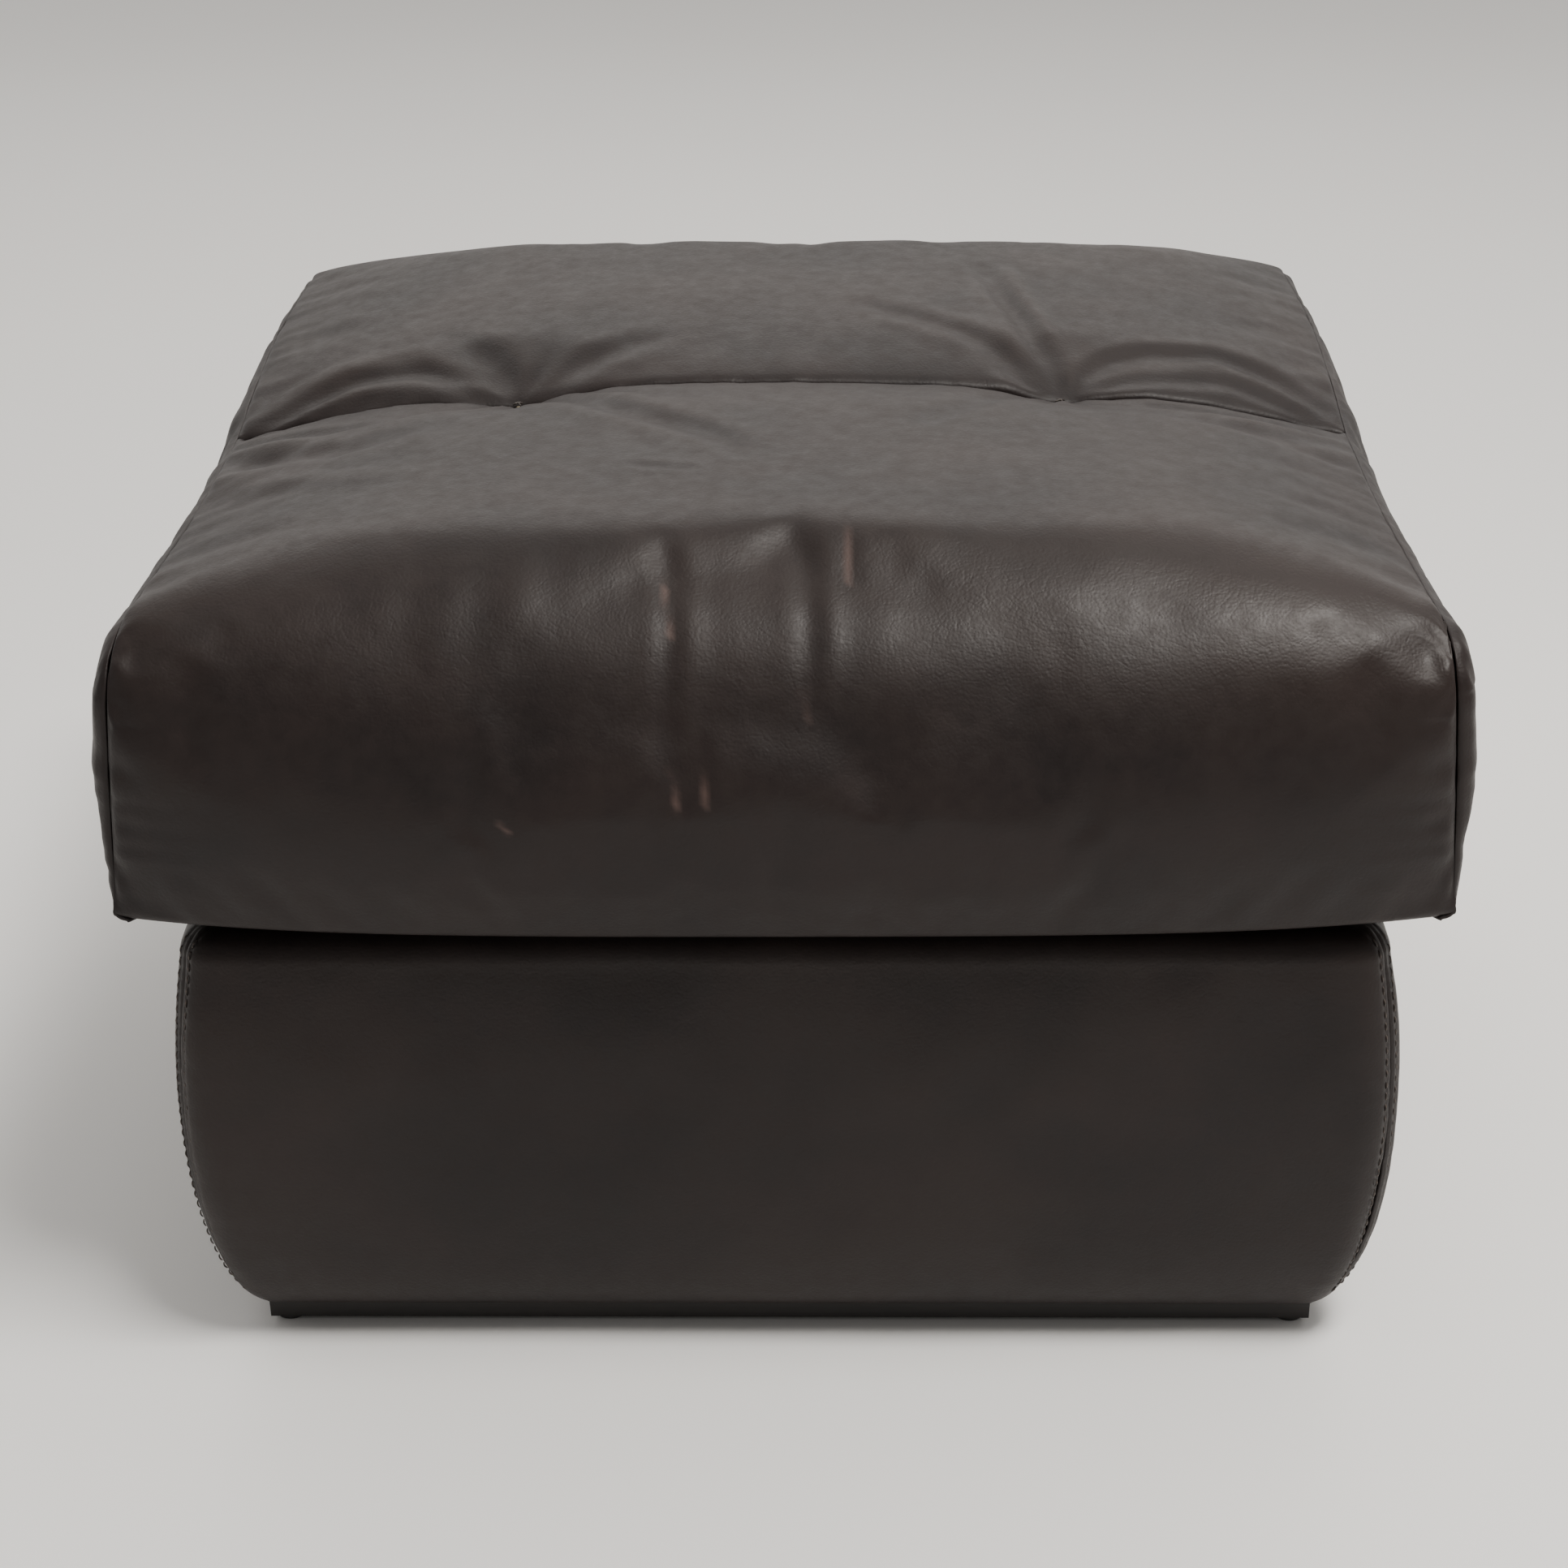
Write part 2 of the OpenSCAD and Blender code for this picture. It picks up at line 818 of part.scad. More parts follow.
// Stay bracket under the lid: a foot and an ear that carries the rivet
module stay_bracket_right() {
    difference() {
        union() {
            translate([ear_face_x - foot_w, pivot_y - foot_l / 2, lid_z - plate_t]) {
                cube([foot_w, foot_l, plate_t]);
            }
            translate([ear_face_x - ear_t, pivot_y, pivot_z]) rotate([0, 90, 0]) {
                cylinder(h = ear_t, r = ear_r);
            }
            translate([ear_face_x - ear_t, pivot_y - ear_r, pivot_z]) {
                cube([ear_t, 2 * ear_r, lid_z - pivot_z]);
            }
        }
        translate([ear_face_x - ear_t - PAST, pivot_y, pivot_z]) rotate([0, 90, 0]) {
            cylinder(h = ear_t + 2 * PAST, r = stay_pin_r);
        }
        bracket_screw_set(cut = true);
    }
}

module stay_rivet_right() {
    grip = arm_face_x - ear_face_x + ear_t;
    translate([ear_face_x - ear_t, pivot_y, pivot_z]) rotate([0, 90, 0]) {
        cylinder(h = grip + stay_head_t / 4, r = stay_pin_r);
        translate([0, 0, -stay_head_t]) cylinder(h = stay_head_t, r = rivet_head_r);
        translate([0, 0, grip + stay_head_t / 4]) cylinder(h = stay_head_t, r = rivet_head_r);
    }
}

module right_stay_bracket() {
    color(steel_grey) stay_bracket_right();
}

module left_stay_bracket() {
    color(steel_grey) mirror([1, 0, 0]) stay_bracket_right();
}

module right_stay_rivet() {
    color(steel_grey) stay_rivet_right();
}

module left_stay_rivet() {
    color(steel_grey) mirror([1, 0, 0]) stay_rivet_right();
}

module stay_bracket_screws() {
    color(steel_grey) bracket_screw_set();
}

// Lid
module tuft_holes() {
    for (side = [-1, 1]) {
        translate([side * tuft_x, 0, lid_z]) cylinder(h = cushion_seam_h + crown_h, r = twine_r);
    }
}

module toggle_blank() {
    for (side = [-1, 1]) {
        translate([side * tuft_x, 0, lid_board_z]) cylinder(h = toggle_t, r = toggle_r);
    }
}

module lid_fastener_cuts() {
    hinge_lid_screw_set(cut = true);
    bracket_screw_set(cut = true);
    lining_staple_set();
}

module lid_board() {
    color(board_tan) difference() {
        slab(lid_board_x, lid_board_y, lid_board_z, lid_board_z + lid_board_t);
        tuft_holes();
        toggle_blank();
        lid_fastener_cuts();
    }
}

module seat_foam() {
    color(foam_yellow) difference() {
        cushion_form(leather_t);
        slab(lid_board_x, lid_board_y, lid_z, lid_board_z + lid_board_t);
        tuft_holes();
    }
}

// Cushion leather: the skin, open under the board where the lining closes it
module cover_blank() {
    difference() {
        cushion_form(0);
        cushion_form(leather_t);
        slab(hem_x, hem_y, lid_z - PAST, lid_board_z + 1);
        hinge_lid_screw_set(cut = true);
    }
}

module seat_panel_space() {
    translate([leather_t - cushion_w / 2, 0, lid_z - PAST]) {
        cube([cushion_w - 2 * leather_t, cushion_d, cushion_seam_h + crown_h + 2 * PAST]);
    }
}

module rear_cover() {
    color(espresso) intersection() {
        cover_blank();
        seat_panel_space();
    }
}

module front_cover() {
    color(espresso) intersection() {
        cover_blank();
        mirror([0, 1, 0]) seat_panel_space();
    }
}

module boxing_right() {
    intersection() {
        cover_blank();
        translate([cushion_w / 2 - leather_t, -cushion_d, lid_z - PAST]) {
            cube([2 * side_bulge, 2 * cushion_d, cushion_seam_h + crown_h + 2 * PAST]);
        }
    }
}

module left_boxing() {
    color(espresso) mirror([1, 0, 0]) boxing_right();
}

module right_boxing() {
    color(espresso) boxing_right();
}

module lid_lining() {
    color(lining_grey) difference() {
        slab(hem_x, hem_y, lid_z, lid_board_z);
        lid_fastener_cuts();
    }
}

module lining_staples() {
    color(steel_grey) lining_staple_set();
}

module tuft_twine(side) {
    knot_z = lid_board_z + toggle_t / 4;
    twine_h = tuft_top_z - leather_t - knot_z;
    color(twine_tan) translate([side * tuft_x, 0, knot_z]) cylinder(h = twine_h, r = twine_r);
}

module left_tuft_twine() {
    tuft_twine(-1);
}

module right_tuft_twine() {
    tuft_twine(1);
}

module tuft_toggles() {
    color(rubber_black) difference() {
        toggle_blank();
        tuft_holes();
    }
}

module lid_bumpers() {
    bumper_h = lid_gap - bumper_clear;
    tip_h = 2;
    color(rubber_black) for (x = [-1, 1], y = [-1, 1]) {
        translate([x * bumper_x, y * bumper_y, lid_z - bumper_h]) {
            cylinder(h = tip_h, r1 = bumper_tip_r, r2 = bumper_r);
            translate([0, 0, tip_h]) cylinder(h = bumper_h - tip_h, r = bumper_r);
        }
    }
}

front_plinth_rail();
rear_plinth_rail();
left_plinth_rail();
right_plinth_rail();
glides();
bottom_board();
front_wall();
rear_wall();
left_wall();
right_wall();
frame_screws();
bottom_screws();
plinth_screws();
front_padding();
rear_padding();
left_padding();
right_padding();
front_leather();
rear_leather();
left_leather();
right_leather();
underside_staples();
dust_cover();
storage_lining();
floor_lining();
left_hinge_base_leaf();
right_hinge_base_leaf();
left_hinge_pin();
right_hinge_pin();
hinge_base_screws();
left_stay_stud();
right_stay_stud();
stay_stud_screws();
lid_board();
seat_foam();
front_cover();
rear_cover();
left_boxing();
right_boxing();
lid_lining();
lining_staples();
left_tuft_twine();
right_tuft_twine();
tuft_toggles();
lid_bumpers();
left_hinge_lid_leaf();
right_hinge_lid_leaf();
hinge_lid_screws();
left_stay_bracket();
right_stay_bracket();
left_stay_rivet();
right_stay_rivet();
stay_bracket_screws();
left_stay_arm();
right_stay_arm();
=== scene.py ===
"""Looks for a leather storage ottoman: a seamed and tufted cushion lid over a padded, topstitched base.

Every length is in metres. X is to the right, -Y is the front and Z is up, with the floor at 0.
"""

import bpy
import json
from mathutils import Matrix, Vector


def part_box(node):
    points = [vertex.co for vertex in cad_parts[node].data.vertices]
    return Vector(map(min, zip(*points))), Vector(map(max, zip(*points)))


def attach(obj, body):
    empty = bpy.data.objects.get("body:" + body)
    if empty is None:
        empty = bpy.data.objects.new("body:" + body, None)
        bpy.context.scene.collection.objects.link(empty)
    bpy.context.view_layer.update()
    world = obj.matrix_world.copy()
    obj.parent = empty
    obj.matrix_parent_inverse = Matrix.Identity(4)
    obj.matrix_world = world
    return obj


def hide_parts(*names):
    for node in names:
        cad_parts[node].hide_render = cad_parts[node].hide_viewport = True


bl_info = {
    "name": "Leather Storage Ottoman",
    "version": (1, 0, 0),
    "blender": (4, 5, 0),
    "location": "View3D > Sidebar > Ottoman",
    "description": "Builds the upholstery, thread, finishes and stage of a leather storage ottoman",
    "category": "Object",
}

import json
import math

import bmesh
import bpy
import numpy as np
from bpy.props import FloatProperty, PointerProperty, StringProperty
from mathutils import Matrix, Vector

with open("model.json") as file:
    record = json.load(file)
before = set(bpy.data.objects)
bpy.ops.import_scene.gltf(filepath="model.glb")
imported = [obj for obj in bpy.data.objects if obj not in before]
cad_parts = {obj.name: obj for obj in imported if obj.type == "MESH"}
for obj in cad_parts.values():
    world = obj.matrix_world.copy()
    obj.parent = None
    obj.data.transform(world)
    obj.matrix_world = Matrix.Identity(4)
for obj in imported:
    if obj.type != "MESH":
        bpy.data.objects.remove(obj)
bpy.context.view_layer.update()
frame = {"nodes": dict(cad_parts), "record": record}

# Sizes read from the frame
COVER_LO, COVER_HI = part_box("front_cover")
SHELL_LO, SHELL_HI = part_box("front_leather")
SIDE_RAIL_LO, SIDE_RAIL_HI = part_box("right_plinth_rail")
TWINE_LO, TWINE_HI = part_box("right_tuft_twine")
BOXING_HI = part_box("right_boxing")[1]
LINING_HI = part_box("lid_lining")[1]
TURN_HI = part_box("storage_lining")[1]
RAIL_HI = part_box("front_plinth_rail")[1]

LEATHER = 0.0015
SEAM_HALF_W = COVER_HI.x + LEATHER
LID_Z = COVER_LO.z
SEAM_Z = BOXING_HI.z
HEM_X, HEM_Y = LINING_HI.x, LINING_HI.y
TUFT_X = (TWINE_LO.x + TWINE_HI.x) / 2
TUFT_Z = TWINE_HI.z + LEATHER
RIM_Z = SHELL_HI.z
UNDER_Z = SHELL_LO.z
CAD_BELLY = 0.012
EDGE_X, EDGE_Y = SHELL_HI.x - CAD_BELLY, -SHELL_LO.y - CAD_BELLY
FRONT_BULGE = 0.020
SIDE_SWELL = BOXING_HI.x - SEAM_HALF_W
HEM_LINE_Y = -COVER_LO.y - FRONT_BULGE


class OttomanCushion(bpy.types.PropertyGroup):
    crown: FloatProperty(
        name="Crown", description="How far the seat rises above its side seams",
        default=0.029, unit="LENGTH")
    front_drop: FloatProperty(
        name="Front Drop", description="How far the side seams settle at the front",
        default=0.010, unit="LENGTH")
    rear_rise: FloatProperty(
        name="Rear Rise", description="How far the side seams climb from front to back",
        default=0.018, unit="LENGTH")
    seam_sag: FloatProperty(
        name="Seam Sag", description="How far the cross seam lies below the crown",
        default=0.0015, unit="LENGTH")
    end_dip: FloatProperty(
        name="End Dip", description="How far the ends of the cross seam pull the side seams down",
        default=0.003, unit="LENGTH")
    roll_depth: FloatProperty(
        name="Roll Depth", description="How far back the rounded front edge of the seat reaches",
        default=0.105, unit="LENGTH")
    rear_roll_depth: FloatProperty(
        name="Rear Roll Depth", description="How far forward the rounded rear edge of the seat reaches",
        default=0.088, unit="LENGTH")
    mesh_step: FloatProperty(
        name="Mesh Step", description="Spacing of the cloth before it is subdivided",
        default=0.0065, unit="LENGTH")
    pressure: FloatProperty(
        name="Pressure", description="How hard the foam pushes the leather out", default=3.0)
    growth: FloatProperty(
        name="Growth", description="How much larger the leather is cut than the foam", default=0.009)
    most_move: FloatProperty(
        name="Most Move", description="The furthest that settling may move a point",
        default=0.006, unit="LENGTH")


class OttomanBase(bpy.types.PropertyGroup):
    corner_radius: FloatProperty(
        name="Corner Radius", description="Radius of the upright corners at the top edge",
        default=0.020, unit="LENGTH")
    belly: FloatProperty(
        name="Belly", description="How far the sides stand out at their middle",
        default=0.008, unit="LENGTH")
    rim_radius: FloatProperty(
        name="Rim Radius", description="Radius of the padded top edge", default=0.015, unit="LENGTH")
    roll_height: FloatProperty(
        name="Roll Height", description="How high the padded bottom edge starts to turn under",
        default=0.112, unit="LENGTH")
    stitch_length: FloatProperty(
        name="Stitch Length", description="Length of one topstitch", default=0.0042, unit="LENGTH")
    stitch_gap: FloatProperty(
        name="Stitch Gap", description="Gap between topstitches", default=0.0018, unit="LENGTH")
    stitch_offset: FloatProperty(
        name="Stitch Offset", description="Distance of each topstitch row from its seam",
        default=0.0042, unit="LENGTH")


class OttomanFinish(bpy.types.PropertyGroup):
    hide: StringProperty(
        name="Hide", description="Main colour of the leather", default="#231C1B")
    hide_dark: StringProperty(
        name="Dark Hide", description="Colour of the deeper patches", default="#1B1616")
    # The rubbed colour also paints the highlights on the front roll and under the base rim, besides
    # colouring mottle flecks, raised places and real rubbing.
    hide_rubbed: StringProperty(
        name="Rubbed Hide", description="Colour where the finish has rubbed", default="#2E2623")
    floor: StringProperty(name="Floor", description="Colour of the floor", default="#F3F2F0")


def linear(hex_colour):
    """Linear RGBA of an sRGB hex colour."""
    channels = [int(hex_colour[i:i + 2], 16) / 255 for i in (1, 3, 5)]
    return tuple(c / 12.92 if c <= 0.04045 else ((c + 0.055) / 1.055) ** 2.4
                 for c in channels) + (1.0,)


# Geometry helpers

def ramp(x, lo, hi):
    """Smooth step of x from 0 at lo to 1 at hi."""
    t = np.clip((x - lo) / (hi - lo), 0, 1)
    return t * t * (3 - 2 * t)


def bell(distance, width, power=2):
    """Bell curve that is 1 at no distance and fades over width."""
    return np.exp(-(distance / width) ** power)


def unit(vectors):
    """Rows of vectors at a length of 1."""
    return vectors / np.maximum(np.linalg.norm(vectors, axis=1, keepdims=True), 1e-6)


def lumps(points, size, seed):
    """Smooth noise from -1 to 1 whose lumps are about size across."""
    table = np.random.RandomState(seed).uniform(-1, 1, 4096)
    p = points / size
    cell = np.floor(p).astype(int)
    f = p - cell
    f = f * f * (3 - 2 * f)
    total = 0
    for corner in np.ndindex(2, 2, 2):
        c = cell + corner
        key = (c[:, 0] * 73 + c[:, 1] * 1291 + c[:, 2] * 5003) % 4096
        weight = np.prod(np.where(np.array(corner) == 1, f, 1 - f), axis=1)
        total = total + weight * table[key]
    return total


def distance_to_line(points, line):
    """How far each 2-D point is from a polyline, and how far along it the nearest place is, 0 to 1."""
    line = np.array(line, float)
    best = np.full(len(points), 1e9)
    along = np.zeros(len(points))
    lengths = np.linalg.norm(np.diff(line, axis=0), axis=1)
    starts = np.concatenate([[0], np.cumsum(lengths)])
    for i, (a, b) in enumerate(zip(line[:-1], line[1:])):
        t = np.clip((points - a) @ (b - a) / lengths[i] ** 2, 0, 1)
        d = np.linalg.norm(points - a - t[:, None] * (b - a), axis=1)
        nearer = d < best
        best = np.where(nearer, d, best)
        along = np.where(nearer, (starts[i] + t * lengths[i]) / starts[-1], along)
    return best, along


def linked(name, mesh):
    """A new object in the scene that shows a mesh."""
    piece = bpy.data.objects.new(name, mesh)
    bpy.context.scene.collection.objects.link(piece)
    return piece


def grid_object(name, grid, flip=False):
    """A mesh object of quads over a grid of points."""
    rows, columns = grid.shape[:2]
    mesh = bpy.data.meshes.new(name)
    bm = bmesh.new()
    verts = [bm.verts.new(p) for p in grid.reshape(-1, 3)]
    for i in range(rows - 1):
        for j in range(columns - 1):
            k = i * columns + j
            corners = [verts[k], verts[k + 1], verts[k + columns + 1], verts[k + columns]]
            bm.faces.new(corners[::-1] if flip else corners)
    bm.to_mesh(mesh)
    bm.free()
    return linked(name, mesh)


def vectors_of(mesh, kind="co"):
    """The places ("co") or the normals ("normal") of a mesh's vertices, one row each."""
    values = np.empty(len(mesh.vertices) * 3)
    mesh.vertices.foreach_get(kind, values)
    return values.reshape(-1, 3)


def bake_modifiers(piece):
    """Makes what the piece's modifiers show its own mesh."""
    graph = bpy.context.evaluated_depsgraph_get()
    baked = bpy.data.meshes.new_from_object(piece.evaluated_get(graph))
    old = piece.data
    piece.modifiers.clear()
    piece.data = baked
    bpy.data.meshes.remove(old)


def subdivide(piece):
    smoother = piece.modifiers.new("smooth", "SUBSURF")
    smoother.levels = 1
    bake_modifiers(piece)


def thicken(piece):
    """Gives a skin the leather's thickness on its inner side."""
    shell = piece.modifiers.new("thickness", "SOLIDIFY")
    shell.thickness = LEATHER
    shell.offset = -1
    bake_modifiers(piece)
    for polygon in piece.data.polygons:
        polygon.use_smooth = True


RIDGE_RANGE = 0.003


def press(piece, inward, sink, rub=0, scuff=0):
    """Sinks a panel's points, and stores how rubbed (including painted highlights), scuffed and raised
    each one is for its finish.
    """
    mesh = piece.data
    mesh.vertices.foreach_set("co", (vectors_of(mesh) - inward * sink[:, None]).reshape(-1))
    mesh.update()
    ridge = np.clip(0.5 - sink / RIDGE_RANGE, 0, 1)
    for name, values in (("rub", rub), ("scuff", scuff), ("ridge", ridge)):
        layer = mesh.attributes.new(name, "FLOAT", "POINT")
        layer.data.foreach_set("value", np.full(len(sink), values, np.float32))


SETTLE_STEPS = 20


def settle(grid, held, flip, cushion):
    """Lets a grid of leather settle over its foam: held points stay, the rest swell and wrinkle."""
    piece = grid_object("settling", grid, flip)
    group = piece.vertex_groups.new(name="held")
    group.add([int(i) for i in np.flatnonzero(held.reshape(-1))], 1.0, "REPLACE")
    cloth = piece.modifiers.new("cloth", "CLOTH")
    leather = cloth.settings
    leather.quality = 5
    leather.mass = 0.3
    leather.tension_stiffness = 18
    leather.compression_stiffness = 18
    leather.shear_stiffness = 6
    leather.bending_stiffness = 0.6
    leather.use_pressure = True
    leather.uniform_pressure_force = cushion.pressure
    leather.vertex_group_mass = "held"
    leather.shrink_min = -cushion.growth
    leather.effector_weights.gravity = 0
    cloth.collision_settings.use_collision = False
    cloth.point_cache.frame_start = 1
    cloth.point_cache.frame_end = SETTLE_STEPS
    for step in range(1, SETTLE_STEPS + 1):
        bpy.context.scene.frame_set(step)
    graph = bpy.context.evaluated_depsgraph_get()
    moved = vectors_of(piece.evaluated_get(graph).data)
    bpy.context.scene.frame_set(1)
    start = grid.reshape(-1, 3)
    change = moved - start
    size = np.linalg.norm(change, axis=1, keepdims=True)
    change *= np.minimum(1, cushion.most_move / np.maximum(size, 1e-9))
    bpy.data.objects.remove(piece)
    return (start + change).reshape(grid.shape)


# Cushion: the seat panels and the side boxings share the side seam line.

SEAM_STEPS = np.array((0, 0.0012, 0.0030, 0.0052, 0.0082, 0.0125))
ROLL_TURNS = np.linspace(0, 1, 21) * math.pi / 2
HEM_TURNS = np.linspace(0, 1, 6)[1:] * math.pi / 2
FACE_STEPS = np.linspace(0, 1, 18)[1:]
FACE_EASE = 2.2
ROLL_POWER = 2.25
HEM_RADIUS = 0.006
HEM_SWELL = 0.010
HEM_SAG = 0.0025
CORNER_RADIUS = 0.032
CORNER_LIFT = 0.0010
CORNER_SET_BACK = 0.004
DIP_WIDTH = 0.030
TOP_NARROWING = 0.013
FACE_MIDDLE_Z = LID_Z + 0.066
SEAM_DEPTH = 0.0022
SEAM_WIDTH = 0.0030
PUCKER_REACH = 0.018


def spaced(length, step):
    """Places from 0 to length, a step apart, and closer together towards both ends."""
    edge = SEAM_STEPS[-1]
    inner = np.linspace(edge, length - edge, max(2, round((length - 2 * edge) / step) + 1))
    return np.concatenate([SEAM_STEPS[:-1], inner, length - SEAM_STEPS[-2::-1]])


def seam_height(cushion, y):
    """Height of the side seams: they rise towards the back and dip a little at the cross seam."""
    return (SEAM_Z - cushion.front_drop + cushion.rear_rise * ramp(y, -0.08, 0.24)
            - cushion.end_dip * bell(y, DIP_WIDTH))


def half_width(y, z):
    """Half the width between the side seams: least at the top of the front."""
    drop = np.clip((SEAM_Z - z) / (SEAM_Z - LID_Z), 0, 1)
    return SEAM_HALF_W - TOP_NARROWING * (1 - ramp(y, -0.15, 0.20)) * (1 - drop)


def section(y, z, widest, foot, power=2.0):
    """Top, roll and face of half a cushion section, as (distance from the middle, z) points."""
    (widest_y, widest_z), (foot_y, foot_z) = widest, foot
    roll_y = y[-1] + (widest_y - y[-1]) * np.sin(ROLL_TURNS) ** (2 / power)
    roll_z = widest_z + (z[-1] - widest_z) * np.cos(ROLL_TURNS) ** (2 / power)
    face_y = widest_y + (foot_y - widest_y) * FACE_STEPS ** FACE_EASE
    face_z = roll_z[-1] + (foot_z - roll_z[-1]) * FACE_STEPS
    lines = (y, z), (roll_y[1:], roll_z[1:]), (face_y, face_z)
    return [np.stack(line, axis=1) for line in lines]


def seam_line(cushion, top_steps, sign):
    """Section along a side seam, from the middle of the seat to the hem."""
    y = np.linspace(0, 1, top_steps) * (HEM_LINE_Y - CORNER_RADIUS)
    z = seam_height(cushion, sign * y)
    return section(y, z, (HEM_LINE_Y, z[-1] - CORNER_RADIUS),
                   (HEM_LINE_Y - CORNER_SET_BACK, LID_Z + CORNER_LIFT + HEM_RADIUS))


def middle_line(cushion, top_steps, sign):
    """Section half way between the side seams, in the same stretches."""
    widest_y = HEM_LINE_Y + FRONT_BULGE - 0.006
    s = np.linspace(0, 1, top_steps)
    y = s * (widest_y - (cushion.roll_depth if sign < 0 else cushion.rear_roll_depth))
    z = (seam_height(cushion, sign * y) + cushion.crown - 0.002 * s ** 2
         + (cushion.end_dip - cushion.seam_sag) * bell(y, DIP_WIDTH))
    return section(y, z, (widest_y, FACE_MIDDLE_Z),
                   (HEM_LINE_Y + HEM_SWELL, LID_Z + HEM_RADIUS - HEM_SAG), ROLL_POWER)


def hem(foot, inner):
    """Rows of (outward, z) points that roll a panel under the lid board and in to its lining."""
    rows = [foot - HEM_RADIUS * np.array([1 - math.cos(a), math.sin(a)]) for a in HEM_TURNS]
    under = rows[-1]
    end = np.column_stack([np.minimum(inner, under[:, 0] - 0.0005), np.full(len(under), LID_Z)])
    rows += [under + (end - under) * share for share in (0.35, 0.7, 1)]
    return np.stack(rows, axis=1)


def top_rows(cushion):
    return max(8, round(HEM_LINE_Y * 0.7 / cushion.mesh_step))


def seat_half(cushion, across, sign):
    """Grid of the seat leather from the cross seam to the hem, forward for sign -1 and back for 1."""
    edge = seam_line(cushion, top_rows(cushion), sign)
    n_top = len(edge[0])
    edge = np.concatenate(edge)
    middle = np.concatenate(middle_line(cushion, top_rows(cushion), sign))
    # The crown's share of the way from seam to middle, which fills out over the roll and the face
    crown = 1 - np.abs(across[:, None]) ** 2.7
    filled = 0.45 * crown + 0.55 * (1 - np.abs(across[:, None]) ** 5)
    over_roll = (np.arange(n_top) / n_top) ** 3
    share = np.hstack([crown + (filled - crown) * over_roll,
                       np.repeat(filled, len(edge) - n_top, axis=1)])
    panel = edge[None] + (middle - edge)[None] * share[..., None]
    x = across[:, None] * half_width(sign * edge[:, 0], edge[:, 1])[None]
    inner = HEM_Y + np.maximum(0, np.abs(x[:, -1]) - HEM_X) * 0.9
    rolled = hem(panel[:, -1], inner)
    panel = np.concatenate([panel, rolled], axis=1)
    x = np.concatenate([x, np.repeat(x[:, -1:], rolled.shape[1], axis=1)], axis=1)
    grid = np.stack([x, panel[..., 0] * sign, panel[..., 1]], axis=2)
    on_top = ramp(grid[..., 2], LID_Z + 0.06, LID_Z + 0.10)
    depth = (seam_height(cushion, 0) + cushion.end_dip - cushion.seam_sag - TUFT_Z
             + cushion.crown * (1 - (TUFT_X / SEAM_HALF_W) ** 2.7))
    for side in (-1, 1):
        reach = np.hypot(grid[..., 0] - side * TUFT_X, grid[..., 1] * 1.15)
        grid[..., 2] -= on_top * depth * (0.62 * bell(reach, 0.034) + 0.38 * bell(reach, 0.011, 1))
    return grid


FOLDS = (
    # Each fold is a line of (x, y) places on the seat, its width and its depth; below 0 is a ridge.
    (((-0.3, -0.012), (-0.262, 0.016), (-0.236, 0.03), (-0.197, 0.03), (-0.165, 0.014)),
     0.006, 0.003),
    (((-0.3, 0.004), (-0.27, 0.034), (-0.232, 0.05), (-0.19, 0.05)), 0.007, -0.0016),
    (((-0.3, -0.022), (-0.262, -0.002), (-0.225, 0.006), (-0.178, 0.0)), 0.005, 0.0022),
    (((-0.3, -0.026), (-0.262, -0.04), (-0.24, -0.048), (-0.205, -0.046), (-0.17, -0.03)),
     0.0055, 0.0028),
    (((-0.3, -0.04), (-0.268, -0.072), (-0.223, -0.092), (-0.166, -0.066)), 0.009, 0.003),
    (((-0.3, -0.056), (-0.262, -0.112), (-0.22, -0.136), (-0.17, -0.14)), 0.01, -0.0016),
    (((0.04, 0.092), (0.07, 0.072), (0.099, 0.05), (0.138, 0.004)), 0.007, 0.0028),
    (((0.147, 0.01), (0.17, 0.034), (0.196, 0.046), (0.231, 0.05), (0.265, 0.036),
      (0.3, 0.004)), 0.006, 0.003),
    (((0.152, 0.004), (0.19, 0.016), (0.235, 0.022), (0.27, 0.01), (0.3, -0.01)),
     0.005, 0.0022),
    (((0.15, -0.012), (0.2, -0.026), (0.25, -0.03), (0.3, -0.018)), 0.005, 0.0024),
    (((0.16, -0.028), (0.205, -0.052), (0.255, -0.056), (0.298, -0.034)), 0.007, 0.0018),
    (((-0.132, -0.01), (-0.105, -0.04), (-0.072, -0.075), (-0.043, -0.1), (-0.008, -0.142)),
     0.008, 0.0036),
    (((-0.118, -0.002), (-0.08, -0.026), (-0.04, -0.044)), 0.006, 0.0018),
    (((-0.074, -0.152), (-0.04, -0.16)), 0.0035, 0.0012),
    (((0.124, -0.012), (0.1, -0.05), (0.064, -0.096)), 0.008, 0.002),
    (((0.11, 0.163), (0.118, 0.11), (0.132, 0.05), (0.14, 0.01)), 0.006, 0.0032),
    (((0.122, 0.16), (0.13, 0.108), (0.141, 0.052)), 0.0055, -0.0018),
    (((-0.19, 0.07), (-0.164, 0.04), (-0.145, 0.01)), 0.009, 0.002),
    (((-0.128, 0.008), (-0.1, 0.034), (-0.06, 0.052)), 0.008, 0.002),
)
